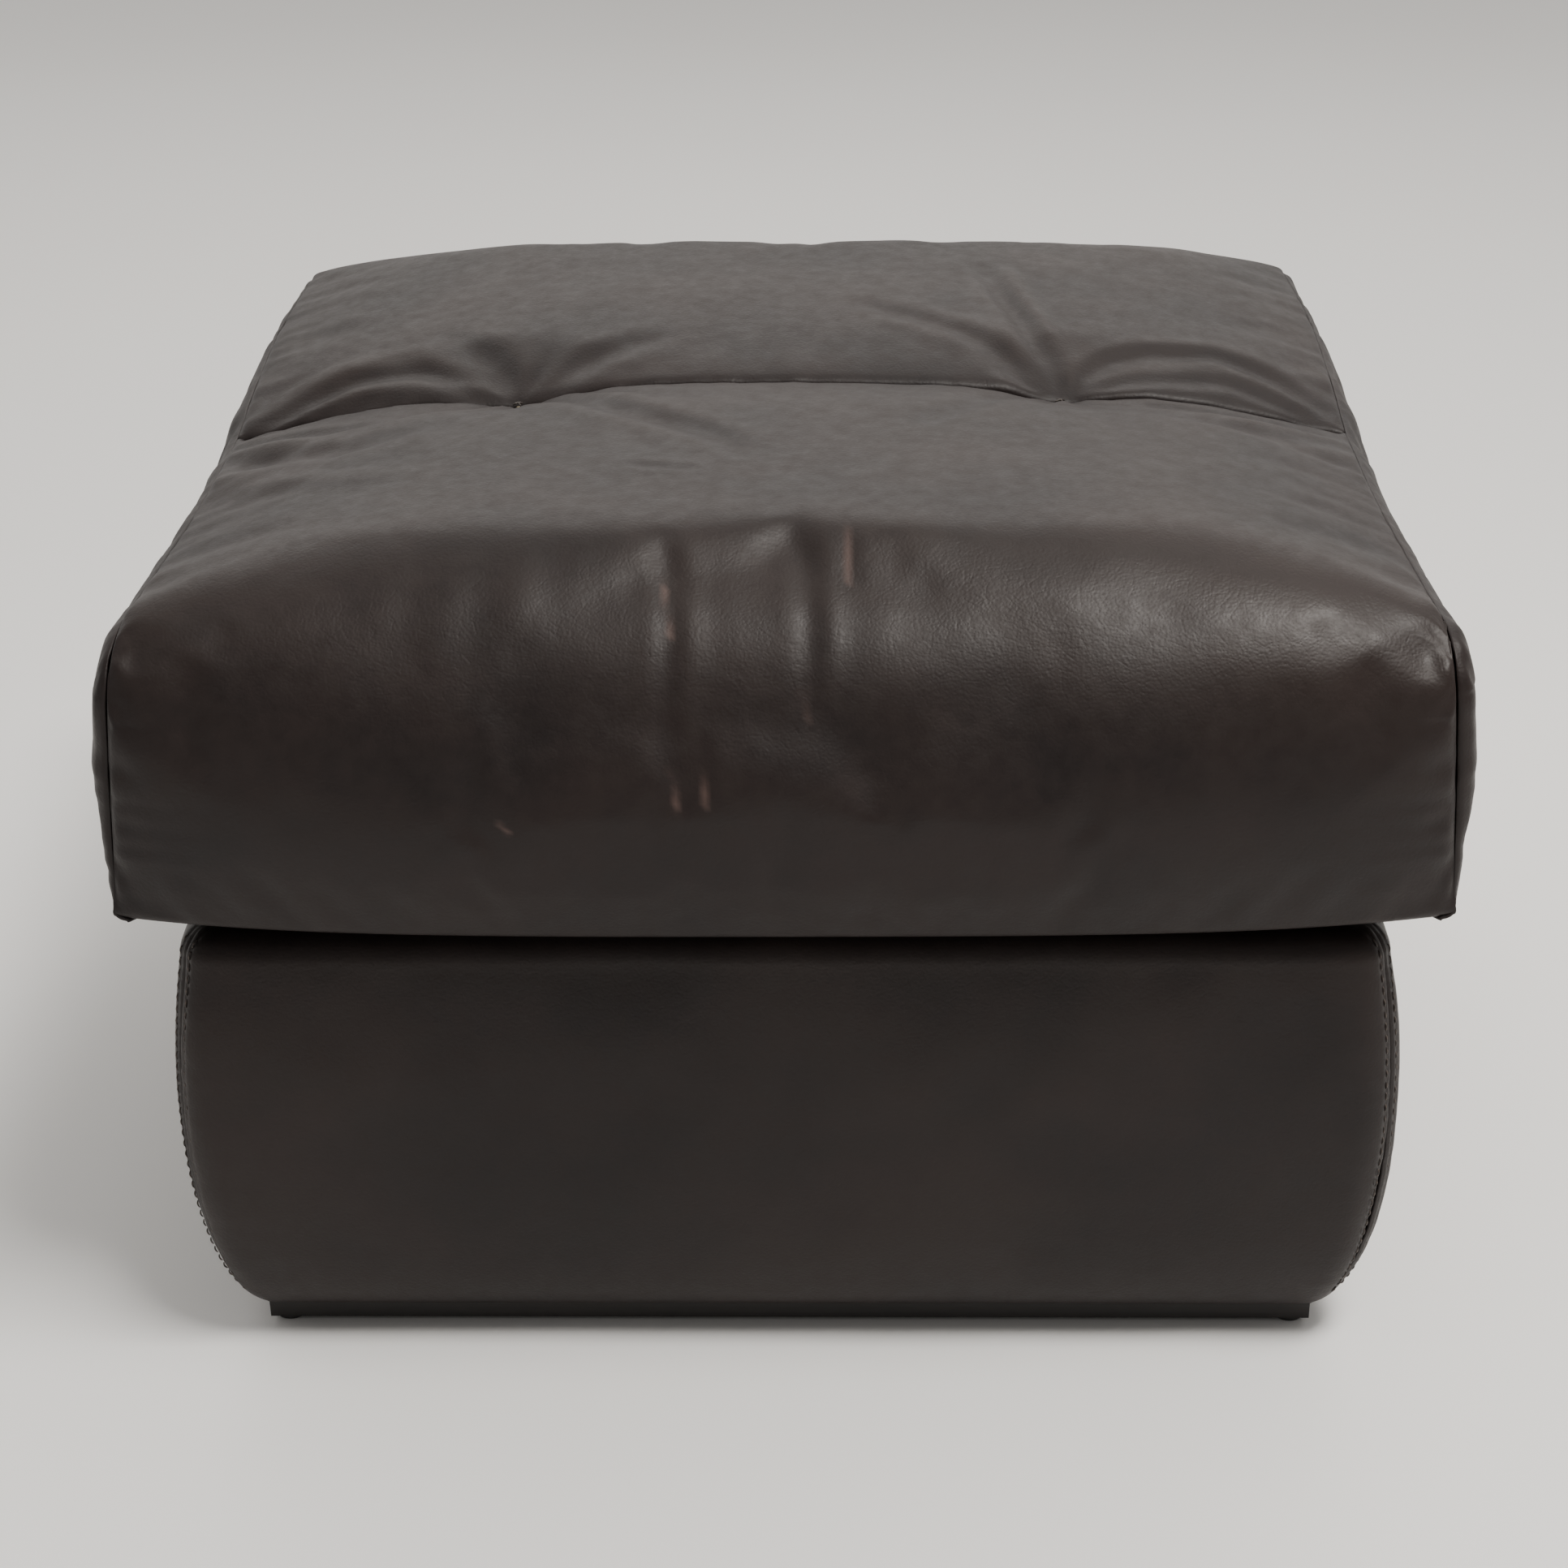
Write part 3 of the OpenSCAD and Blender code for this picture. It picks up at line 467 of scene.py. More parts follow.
CREASES = (
    # Upright creases on the front roll: a line of (x, z) places, its width and its depth.
    (((-0.05, 0.408), (-0.047, 0.37), (-0.05, 0.345), (-0.045, 0.306)), 0.0045, 0.0016),
    (((-0.04, 0.4), (-0.036, 0.36), (-0.038, 0.33)), 0.0055, -0.001),
    (((-0.03, 0.35), (-0.032, 0.308)), 0.003, 0.001),
    (((0.008, 0.41), (0.014, 0.376), (0.012, 0.34)), 0.005, 0.0018),
    (((0.02, 0.408), (0.024, 0.372), (0.022, 0.345)), 0.0055, -0.0011),
    (((0.03, 0.42), (0.031, 0.388)), 0.0035, 0.0012),
    (((-0.125, 0.404), (-0.132, 0.372), (-0.128, 0.34)), 0.008, 0.001),
    (((-0.098, 0.406), (-0.102, 0.366)), 0.007, 0.0009),
    (((-0.16, 0.4), (-0.163, 0.36)), 0.008, 0.0008),
    (((0.12, 0.38), (0.122, 0.34)), 0.006, 0.0007),
)
SCUFFS = (
    # Pale rubbed marks in the creases, as lines of (x, z) places.
    ((-0.046, 0.322), (-0.044, 0.305)),
    ((-0.033, 0.322), (-0.031, 0.307)),
    ((0.011, 0.352), (0.012, 0.34)),
    ((0.03, 0.404), (0.031, 0.388)),
    ((-0.05, 0.386), (-0.047, 0.372)),
    ((-0.121, 0.298), (-0.117, 0.294)),
)


def fold_depth(points, folds):
    """How far each 2-D point sinks into the folds near it, or rises beside them."""
    sunk = np.zeros(len(points))
    for line, width, depth in folds:
        away, along = distance_to_line(points, line)
        fade = np.sin(math.pi * np.clip(along * 0.96 + 0.04, 0, 1)) ** 0.6
        beside = 0.45 * bell(away - 1.9 * width, width)
        sunk += 0.7 * depth * fade * (bell(away, width) - beside)
    return sunk


def pucker(along, away, reach, seed):
    """Small gathers that run off a seam: along it by place, fading with distance from it."""
    line = np.stack([along, np.full_like(along, 0.5), np.full_like(along, 0.5)], axis=1)
    wave = lumps(line, 0.011, seed) + 0.6 * lumps(line, 0.0055, seed + 1)
    return wave * np.exp(-away / reach)


def close_seam(piece, low, at_seam, toward, sink, **wear_and_highlight):
    """Presses a cushion panel, whose seam edges sink as deep and the same way as their neighbour's."""
    inward = unit(vectors_of(piece.data, "normal") + at_seam[:, None] * toward)
    press(piece, inward, SEAM_DEPTH * low * at_seam + sink * (1 - at_seam), **wear_and_highlight)


def finish_seat_panel(piece, sign):
    """Adds seam valleys, folds, creases, scuffs, rubbing and a painted highlight to a settled seat
    panel.
    """
    p = vectors_of(piece.data)
    x, y, z = p.T
    upper = ramp(z, LID_Z + 0.045, LID_Z + 0.075)
    on_top = ramp(z, SEAM_Z - 0.06, SEAM_Z - 0.03)
    low = ramp(z, LID_Z + 0.004, LID_Z + 0.014)
    side_gap = np.maximum(half_width(y, z) - np.abs(x), 0)
    cross_gap = np.abs(y)
    sink = on_top * (0.0030 * bell(cross_gap, 0.0026, 1.5) + 0.0016 * bell(cross_gap, 0.010))
    sink += on_top * 0.0007 * pucker(x + 3, cross_gap, 0.010, 11)
    run = np.where(on_top > 0.5, y, z - 1)
    strong = 0.0005 + 0.0011 * ramp(SEAM_Z - 0.010 - z, 0, 0.02) + 0.0010 * bell(y, 0.05)
    sink += low * pucker(run + 5, side_gap, PUCKER_REACH, 21) * strong
    sink += on_top * fold_depth(p[:, :2], FOLDS)
    rub = scuff = 0
    if sign < 0:
        front = ramp(-y, 0.20, 0.25) * low
        sink += 0.5 * front * fold_depth(p[:, [0, 2]], CREASES)
        away = np.min([distance_to_line(p[:, [0, 2]], mark)[0] for mark in SCUFFS], axis=0)
        scuff = front * bell(away, 0.0009)
        # The rubbed patch on the front roll is also a painted highlight. It is strongest on the right
        # half, where the lamp's reflection falls, and lightens the colour there.
        rub = ramp(z, LID_Z + 0.075, SEAM_Z - 0.012) * ramp(-y, 0.20, 0.265)
        patch = 0.5 + 0.5 * lumps(p, 0.07, 41) + 0.35 * lumps(p, 0.02, 42)
        rub = np.clip(rub * (0.35 + 0.65 * ramp(x, -0.10, 0.12)) * (0.45 + 0.55 * patch), 0, 1)
    # Folds that run out from each tuft like a star
    reach = np.hypot(np.abs(x) - TUFT_X, y)
    angle = np.arctan2(y, np.abs(x) - TUFT_X)
    star = np.cos(angle * 7 + 1.3 * np.sign(x)) + 0.6 * np.cos(angle * 11 + 2.1 * np.sign(x))
    sink += on_top * 0.0007 * star * bell(reach - 0.022, 0.018)
    sink += upper * (0.0010 * lumps(p, 0.055, 31) + 0.0004 * lumps(p, 0.021, 32))
    toward = np.sign(x)[:, None] * (1, 0, 0)
    close_seam(piece, low, bell(side_gap, SEAM_WIDTH, 1.5), toward, sink, rub=rub, scuff=scuff)


def boxing_grid(cushion, side):
    """Grid of a side panel, from its front seam to its rear one and down to its hem."""
    crests, uprights = [], []
    for sign in (-1, 1):
        top, roll, face = seam_line(cushion, top_rows(cushion), sign)
        half = len(roll) // 2
        crests.append(np.concatenate([top, roll[:half]]) * (sign, 1))
        uprights.append(np.concatenate([roll[half - 1:], face]) * (sign, 1))
    crest = np.concatenate([crests[0][::-1], crests[1][1:]])
    left, right = uprights
    # A patch blended from its four edges
    u = np.linspace(0, 1, len(crest))[:, None, None]
    v = np.linspace(0, 1, len(left))[None, :, None]
    bottom = left[-1] + (right[-1] - left[-1]) * u[:, 0]
    bottom[:, 1] -= CORNER_LIFT * np.sin(math.pi * u[:, 0, 0]) ** 0.5
    across = (1 - v) * crest[:, None] + v * bottom[:, None]
    down = (1 - u) * left[None] + u * right[None]
    corners = ((1 - u) * ((1 - v) * crest[0] + v * bottom[0])
               + u * ((1 - v) * crest[-1] + v * bottom[-1]))
    y, z = np.moveaxis(across + down - corners, 2, 0)
    inset = (np.sin(math.pi * u) ** 0.3 * np.sin(math.pi * np.clip(v * 0.97, 0, 1)) ** 0.7)[..., 0]
    x = half_width(y, z) + (SIDE_SWELL + 0.001) * inset
    inner = HEM_X + np.maximum(0, np.abs(y[:, -1]) - HEM_Y) * 0.9
    rolled = hem(np.column_stack([x[:, -1], z[:, -1]]), inner)
    x, z = (np.concatenate([row, rolled[..., i]], axis=1) for i, row in enumerate((x, z)))
    y = np.concatenate([y, np.repeat(y[:, -1:], rolled.shape[1], axis=1)], axis=1)
    return np.stack([x * side, y, z], axis=2), len(left)


def seam_outward(cushion, y, z):
    """The way to the nearest edge of a side panel, in its own plane, as rows of (0, y, z)."""
    off = np.column_stack([y, z]) - (0, (SEAM_Z + LID_Z) / 2)
    off *= (1, 2)
    straight = np.where(np.abs(off) > np.abs(off[:, ::-1]), np.sign(off), 0)
    bend_y = HEM_LINE_Y - CORNER_RADIUS
    above = z - seam_height(cushion, y) + CORNER_RADIUS
    bend = unit(np.column_stack([y - np.sign(y) * bend_y, np.maximum(above, 0)]))
    at_corner = (np.abs(y) > bend_y) & (z > SEAM_Z - CORNER_RADIUS - 0.02)
    return np.column_stack([0 * y, np.where(at_corner[:, None], bend, straight)])


def finish_boxing(piece, cushion, side):
    """Adds seam valleys, puckers and soft lumps to a settled side panel."""
    p = vectors_of(piece.data)
    y, z = p[:, 1], p[:, 2]
    lines = [np.concatenate(seam_line(cushion, 40, sign)) * (sign, 1) for sign in (-1, 1)]
    away = np.min([distance_to_line(p[:, 1:], line)[0] for line in lines], axis=0)
    low = ramp(z, LID_Z + 0.004, LID_Z + 0.014)
    run = np.where(z > SEAM_Z - 0.035, y, z - 1)
    strong = 0.0006 + 0.0010 * ramp(np.abs(y), 0.24, 0.28) + 0.0009 * bell(y, 0.05)
    sink = low * pucker(run + 5, away, PUCKER_REACH, 61 + (side > 0)) * strong
    sink += low * (0.0010 * lumps(p, 0.060, 71) + 0.0004 * lumps(p, 0.024, 72))
    close_seam(piece, low, bell(away, SEAM_WIDTH, 1.5), seam_outward(cushion, y, z), sink)


# Base: one padded form, whose rings are rounded rectangles at each step of its side profile

TURN_RADIUS = 0.004
PLINTH_CLEARANCE = 0.001
FLANGE = 0.012


def base_profile(base):
    """Section of the base, from inside to under: (step out from the top edge, z, corner radius)."""
    lip = SIDE_RAIL_HI.x + PLINTH_CLEARANCE - EDGE_X
    flange_end = SIDE_RAIL_LO.x - FLANGE - EDGE_X
    inner = TURN_HI.x - LEATHER - EDGE_X
    rim, roll, turn = base.rim_radius, base.roll_height, TURN_RADIUS
    top, foot = RIM_Z - rim, UNDER_Z + roll

    def quarter(steps):
        return [(math.sin(a), math.cos(a)) for a in np.linspace(0, math.pi / 2, steps)[1:]]

    points = [(inner, z) for z in np.linspace(TURN_HI.z, RIM_Z - turn, 5)]
    points += [(inner + turn * (1 - cos), RIM_Z - turn * (1 - sin)) for sin, cos in quarter(5)]
    points += [(e, RIM_Z) for e in np.linspace(inner + turn, -rim, 4)[1:]]
    points += [(-rim + rim * sin, top + rim * cos) for sin, cos in quarter(9)]
    points += [(base.belly * s * (2 - s), top + (foot - top) * s)
               for s in np.linspace(0, 1, 16)[1:]]
    points += [(base.belly - (base.belly - lip) * (1 - cos), foot - roll * sin)
               for sin, cos in quarter(26)]
    points += [(lip, UNDER_Z + 0.0012), (lip, UNDER_Z + 0.004), (lip, RAIL_HI.z - 0.0002),
               (flange_end, RAIL_HI.z)]
    step, z = np.array(points).T
    corner = np.maximum(base.corner_radius + step, 0.002)
    outside = (step > lip + 0.0001) & (z < top + 0.0001)
    return np.column_stack([step, z, np.where(outside, base.corner_radius + 0.4 * step, corner)])


def corner_points(step, radius, turns):
    """(x, y) on the front right corner, for turns from 0 facing forward to 1 facing right."""
    a = np.asarray(turns) * math.pi / 2
    return np.stack([EDGE_X + step - radius + radius * np.sin(a),
                     -(EDGE_Y + step - radius) - radius * np.cos(a)], axis=1)


SEAM_TURN = 0.56
FRONT_TURNS = SEAM_TURN - np.array([0, 0.04, 0.09, 0.15, 0.22, 0.30, 0.38, 0.47, 0.56])
SIDE_TURNS = SEAM_TURN + np.array([0, 0.04, 0.09, 0.15, 0.22, 0.29, 0.36, 0.44])
FLAT_STEPS = 91


def shell_grid(base, turns, first, last):
    """A base panel between two corner seams: the front right bend mirrored to both, and a flat."""
    rings = []
    for step, z, radius in base_profile(base):
        bend = corner_points(step, radius, turns)
        near, far = bend * first, bend[::-1] * last
        flat = np.linspace(near[-1], far[0], FLAT_STEPS)[1:-1]
        ring = np.concatenate([near, flat, far])
        rings.append(np.column_stack([ring, np.full(len(ring), z)]))
    return np.array(rings)


def finish_shell(piece, base, seed):
    """Adds the corner seams, stitch channels, soft lumps and a painted highlight line under the rim to
    a base panel.
    """
    p = vectors_of(piece.data)
    sides, z = np.abs(p[:, :2]), p[:, 2]
    outside = ramp(np.max(sides - (EDGE_X, EDGE_Y), axis=1), -0.014, -0.006)
    outside *= ramp(z, UNDER_Z, UNDER_Z + 0.006)
    profile = base_profile(base)
    profile = profile[(profile[:, 0] > -0.5 * base.rim_radius) & (profile[:, 1] < RIM_Z)]
    step, radius = (np.interp(-z, -profile[:, 1], profile[:, i]) for i in (0, 2))
    beyond = sides - np.stack([EDGE_X + step - radius, EDGE_Y + step - radius], axis=1)
    turn = np.arctan2(beyond[:, 0], beyond[:, 1]) - SEAM_TURN * math.pi / 2
    away = np.where((beyond > -0.012).all(axis=1), np.abs(turn) * np.linalg.norm(beyond, axis=1), 1)
    sink = 0.0016 * bell(away, 0.0022, 1.5) + 0.0006 * bell(away - base.stitch_offset, 0.0013)
    sink += 0.00035 * pucker(z + 3, away, 0.014, seed)
    sink += 0.0011 * lumps(p, 0.075, seed + 1) + 0.0005 * lumps(p, 0.030, seed + 2)
    near_rim = bell(z - RIM_Z + 0.012, 0.012)
    sink += near_rim * 0.0007 * lumps(p * (1, 1, 0.3), 0.026, seed + 3)
    # The band about 12 mm under the rim is stored as rubbed, which paints it lighter. This is a painted
    # highlight where the rim's rounding faces up.
    press(piece, vectors_of(piece.data, "normal"), outside * sink, rub=0.35 * outside * near_rim)


def at(place, lengths, rows):
    """Where a place along a path falls between its rows."""
    return np.array([np.interp(place, lengths, column) for column in rows.T])


def thread_run(bm, path, normals, length, gap, radius):
    """Stitches along a path: each dips into the leather at both ends."""
    lengths = np.concatenate([[0], np.cumsum(np.linalg.norm(np.diff(path, axis=0), axis=1))])
    place = gap
    while place + length < lengths[-1]:
        rings = []
        for k, thickness in enumerate((0.62, 0.95, 1, 0.95, 0.62)):
            s = place + length * k / 4
            centre, normal = at(s, lengths, path), at(s, lengths, normals)
            across = np.cross(at(s + 0.0005, lengths, path) - centre, normal)
            across /= np.linalg.norm(across)
            centre = centre + normal * radius * (1.1 * math.sin(math.pi * k / 4) - 0.5)
            size = radius * thickness
            rings.append([bm.verts.new(centre + size * (math.cos(a) * across + math.sin(a) * normal))
                          for a in np.arange(6) * math.pi / 3])
        for a, b in zip(rings, rings[1:]):
            for i in range(6):
                bm.faces.new([a[i], a[(i + 1) % 6], b[(i + 1) % 6], b[i]])
        bm.faces.new(rings[0][::-1])
        bm.faces.new(rings[-1])
        place += length + gap


def piece_from(bm, name):
    """A smooth piece made from a finished bmesh."""
    mesh = bpy.data.meshes.new(name)
    bmesh.ops.recalc_face_normals(bm, faces=bm.faces)
    bm.to_mesh(mesh)
    bm.free()
    for polygon in mesh.polygons:
        polygon.use_smooth = True
    return linked(name, mesh)


# Finishes

def feed(tree, node, inputs):
    """Sets a node's inputs, by name or number, to values or to the outputs that feed them."""
    for key, value in inputs.items():
        if isinstance(value, bpy.types.NodeSocket):
            tree.links.new(value, node.inputs[key])
        else:
            node.inputs[key].default_value = value


def add(tree, kind, inputs=None, out=0, **settings):
    """Adds a shader node with its settings and inputs, and gives back one of its outputs."""
    made = tree.nodes.new("ShaderNode" + kind)
    for key, value in settings.items():
        setattr(made, key, value)
    feed(tree, made, inputs or {})
    return made.outputs[out] if made.outputs else None


MIXED = {"data_type": "RGBA", "out": "Result"}


def new_finish(name, **shader):
    """A material with one Principled shader, whose constants are set on it."""
    material = bpy.data.materials.new(name)
    material.use_nodes = True
    tree = material.node_tree
    tree.nodes.clear()
    surface = add(tree, "BsdfPrincipled", {k.replace("_", " "): v for k, v in shader.items()})
    add(tree, "OutputMaterial", {"Surface": surface})
    place = add(tree, "TexCoord", out="Object")
    return material, tree, surface.node, place


def per_mm(size_mm):
    """Texture scale that makes one cell or lump about size_mm across on coordinates in metres."""
    return 1000 / size_mm


def waves_per_mm(size_mm):
    """Wave texture scale whose bands are size_mm apart on coordinates in metres."""
    return per_mm(size_mm) / 6.283


def aged_hide(finish, name, painted_shade_factor=1.0):
    """Pigmented cowhide: smooth finish over fine pebble grain, mottled, glossier and lighter where
    rubbed; the rubbing mask also carries painted highlights.
    """
    material, tree, shader, place = new_finish(name, IOR=1.45, Specular_IOR_Level=0.28)
    blotch = add(tree, "TexNoise", {"Vector": place, "Scale": per_mm(85), "Detail": 3.0,
                                    "Roughness": 0.55})
    mottle = add(tree, "TexNoise", {"Vector": place, "Scale": per_mm(9), "Detail": 4.0,
                                    "Roughness": 0.6})
    speck = add(tree, "TexNoise", {"Vector": place, "Scale": per_mm(1.8), "Detail": 2.0})
    rub, scuff, ridge = (add(tree, "Attribute", attribute_name=kind, out="Fac")
                         for kind in ("rub", "scuff", "ridge"))
    patch = add(tree, "MapRange", {"Value": blotch, "From Min": 0.35, "From Max": 0.65})
    fleck = add(tree, "MapRange", {"Value": mottle, "From Min": 0.35, "From Max": 0.7, "To Max": 0.18})
    high = add(tree, "MapRange", {"Value": ridge, "From Min": 0.45, "To Max": 0.35})
    # The rubbing mask mixes in the lighter colour, both for real rubbing and for the painted highlights
    # on the front roll and under the base rim.
    worn_and_highlight = add(tree, "Math", {0: rub, 1: 0.55}, operation="MULTIPLY")
    mark = add(tree, "Math", {0: scuff, 1: 0.4}, operation="MULTIPLY")
    # A factor below 1 darkens the main and dark colours as painted shade.
    main, dark = ((*(c * painted_shade_factor for c in linear(colour)[:3]), 1.0)
                  for colour in (finish.hide, finish.hide_dark))
    tone = add(tree, "Mix", {"Factor": patch, "A": dark, "B": main}, **MIXED)
    rubbed = linear(finish.hide_rubbed)
    pale = linear("#6B5751")
    for amount, colour in ((fleck, rubbed), (high, rubbed), (worn_and_highlight, rubbed), (mark, pale)):
        tone = add(tree, "Mix", {"Factor": amount, "A": tone, "B": colour}, **MIXED)
    matt = add(tree, "MapRange", {"Value": mottle, "From Min": 0.3, "From Max": 0.7,
                                  "To Min": 0.46, "To Max": 0.56})
    shine = add(tree, "Math", {0: rub, 1: 0.07}, operation="MULTIPLY")
    rough = add(tree, "Math", {0: matt, 1: shine}, operation="SUBTRACT")
    grit = add(tree, "MapRange", {"Value": speck, "To Min": -0.05, "To Max": 0.05})
    rough = add(tree, "Math", {0: rough, 1: grit}, operation="ADD", use_clamp=True)
    # Pebble grain is about 0.7 mm on the hide; it is drawn at 1.3 mm so that it shows.
    pebble = add(tree, "TexVoronoi", {"Vector": place, "Scale": per_mm(1.3)}, feature="SMOOTH_F1")
    vein = add(tree, "TexVoronoi", {"Vector": place, "Scale": per_mm(6.5)}, feature="DISTANCE_TO_EDGE")
    vein = add(tree, "MapRange", {"Value": vein, "From Max": 0.10})
    rumple = add(tree, "TexNoise", {"Vector": place, "Scale": per_mm(15), "Detail": 4.0,
                                    "Distortion": 0.6})
    bump = add(tree, "Bump", {"Height": rumple, "Strength": 0.25, "Distance": 0.0008})
    for height, strength in ((vein, 0.08), (pebble, 0.30)):
        bump = add(tree, "Bump", {"Height": height, "Normal": bump, "Strength": strength,
                                  "Distance": 0.0003})
    feed(tree, shader, {"Base Color": tone, "Roughness": rough, "Normal": bump})
    return material


def woven_cloth(name, colour, dark, thread_mm):
    """Plain-woven cotton lining: matt, with over-and-under threads that catch a soft grazing sheen."""
    material, tree, shader, place = new_finish(name, Roughness=0.9, Sheen_Weight=0.25,
                                               Sheen_Roughness=0.5)
    weft, warp, rise = (
        add(tree, "TexWave", {"Vector": place, "Scale": waves_per_mm(thread_mm), "Distortion": 0.4,
                              "Detail": 1.0}, bands_direction=way, out="Fac") for way in "XYZ")
    threads = add(tree, "Math", {0: weft, 1: warp}, operation="MULTIPLY")
    threads = add(tree, "Math", {0: threads, 1: rise}, operation="ADD")
    fuzz = add(tree, "TexNoise", {"Vector": place, "Scale": per_mm(14), "Detail": 3.0})
    lit = add(tree, "Math", {0: threads, 1: fuzz}, operation="MULTIPLY")
    tone = add(tree, "Mix", {"Factor": lit, "A": linear(dark), "B": linear(colour)}, **MIXED)
    bump = add(tree, "Bump", {"Height": threads, "Strength": 0.5, "Distance": 0.0004})
    feed(tree, shader, {"Base Color": tone, "Normal": bump})
    return material


def pressed_felt(name, colour):
    """Spunbonded dust cloth: black, papery, with embossed dots."""
    material, tree, shader, place = new_finish(name, Roughness=0.85)
    dots = add(tree, "TexVoronoi", {"Vector": place, "Scale": per_mm(2.2), "Randomness": 0.15})
    fibre = add(tree, "TexNoise", {"Vector": place, "Scale": per_mm(5), "Detail": 6.0})
    tone = add(tree, "Mix", {"Factor": fibre, "A": linear(colour), "B": linear("#3A3A3C")}, **MIXED)
    bump = add(tree, "Bump", {"Height": dots, "Strength": 0.6, "Distance": 0.0003})
    feed(tree, shader, {"Base Color": tone, "Normal": bump})
    return material


def sawn_wood(name, light, dark, ring_mm, rough):
    """Softwood or ply board: long grain lines across a pale, dry surface."""
    material, tree, shader, place = new_finish(name)
    grain = add(tree, "Mapping", {"Vector": place, "Scale": (0.08, 1.0, 1.0)})
    rings = add(tree, "TexNoise", {"Vector": grain, "Scale": per_mm(ring_mm), "Detail": 6.0,
                                   "Roughness": 0.6, "Distortion": 0.8})
    late = add(tree, "MapRange", {"Value": rings, "From Min": 0.3, "From Max": 0.7})
    tone = add(tree, "Mix", {"Factor": late, "A": linear(dark), "B": linear(light)}, **MIXED)
    dull = add(tree, "MapRange", {"Value": rings, "To Min": rough - 0.1, "To Max": rough + 0.1})
    bump = add(tree, "Bump", {"Height": rings, "Strength": 0.3, "Distance": 0.0004})
    feed(tree, shader, {"Base Color": tone, "Roughness": dull, "Normal": bump})
    return material


def zinc_plate(name):
    """Zinc-plated steel: grey metal with faint cloudy spangle and fine drawing lines."""
    material, tree, shader, place = new_finish(name, Metallic=1.0)
    cloud = add(tree, "TexNoise", {"Vector": place, "Scale": per_mm(7), "Detail": 4.0})
    tone = add(tree, "Mix", {"Factor": cloud, "A": linear("#77797C"), "B": linear("#97999B")}, **MIXED)
    dull = add(tree, "MapRange", {"Value": cloud, "To Min": 0.26, "To Max": 0.46})
    drawn = add(tree, "Mapping", {"Vector": place, "Scale": (1.0, 0.05, 0.05)})
    lines = add(tree, "TexNoise", {"Vector": drawn, "Scale": per_mm(0.5), "Detail": 2.0})
    bump = add(tree, "Bump", {"Height": lines, "Strength": 0.08, "Distance": 0.0001})
    feed(tree, shader, {"Base Color": tone, "Roughness": dull, "Normal": bump})
    return material


def moulded(name, colour, rough, grain_mm):
    """Moulded plastic, rubber or foam: even colour with a fine eroded texture."""
    material, tree, shader, place = new_finish(name, IOR=1.5)
    grain = add(tree, "TexNoise", {"Vector": place, "Scale": per_mm(grain_mm), "Detail": 3.0})
    tone = add(tree, "Mix", {"Factor": grain, "A": linear(colour), "B": linear("#2E2D2D")}, **MIXED)
    dull = add(tree, "MapRange", {"Value": grain, "To Min": rough - 0.08, "To Max": rough + 0.08})
    bump = add(tree, "Bump", {"Height": grain, "Strength": 0.2, "Distance": 0.0002})
    feed(tree, shader, {"Base Color": tone, "Roughness": dull, "Normal": bump})
    return material


def waxed_thread(name, colour, dark):
    """Twisted, waxed thread: fine slanting plies with a dull shine."""
    material, tree, shader, place = new_finish(name, Roughness=0.6)
    ply = add(tree, "TexWave", {"Vector": place, "Scale": waves_per_mm(0.9), "Distortion": 0.5},
              bands_direction="DIAGONAL", out="Fac")
    tone = add(tree, "Mix", {"Factor": ply, "A": linear(dark), "B": linear(colour)}, **MIXED)
    bump = add(tree, "Bump", {"Height": ply, "Strength": 0.5, "Distance": 0.0002})
    feed(tree, shader, {"Base Color": tone, "Normal": bump})
    return material


def dress(piece, material):
    piece.data.materials.clear()
    piece.data.materials.append(material)


# Operators

TUFT_HOLD = 0.007
HEM_ROWS = 7
SIDES = ((-1, "left"), (1, "right"))


class OTTOMAN_OT_cushion(bpy.types.Operator):
    """Builds the seat leather: two panels joined by the cross seam and pulled down at two tufts"""
    bl_idname = "ottoman.cushion"
    bl_label = "Seat Panels"

    def execute(self, context):
        cushion = context.scene.ottoman_cushion
        hide = aged_hide(context.scene.ottoman_finish, "seat_hide")
        across = spaced(2 * SEAM_HALF_W, cushion.mesh_step) / SEAM_HALF_W - 1
        front, rear = (seat_half(cushion, across, sign) for sign in (-1, 1))
        whole = np.concatenate([front[:, ::-1], rear[:, 1:]], axis=1)
        join = front.shape[1] - 1
        held = np.zeros(whole.shape[:2], bool)
        held[[0, -1]] = True
        held[:, [*range(HEM_ROWS), join, *range(-HEM_ROWS, 0)]] = True
        for side, _ in SIDES:
            held |= np.hypot(whole[..., 0] - side * TUFT_X, whole[..., 1]) < TUFT_HOLD
        settled = settle(whole, held, True, cushion)
        by_seam = 0.2 + 0.8 * ramp(np.abs(whole[..., 1:2]), 0.0, 0.07)
        whole = whole + (settled - whole) * by_seam
        for name, grid, sign, nodes in (
                ("front_seat_panel", whole[:, :join + 1], -1, ("front_cover", "seat_foam")),
                ("rear_seat_panel", whole[:, join:], 1, ("rear_cover",))):
            piece = grid_object(name, grid, True)
            subdivide(piece)
            finish_seat_panel(piece, sign)
            thicken(piece)
            dress(piece, hide)
            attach(piece, "lid")
            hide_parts(*nodes)
        return {"FINISHED"}


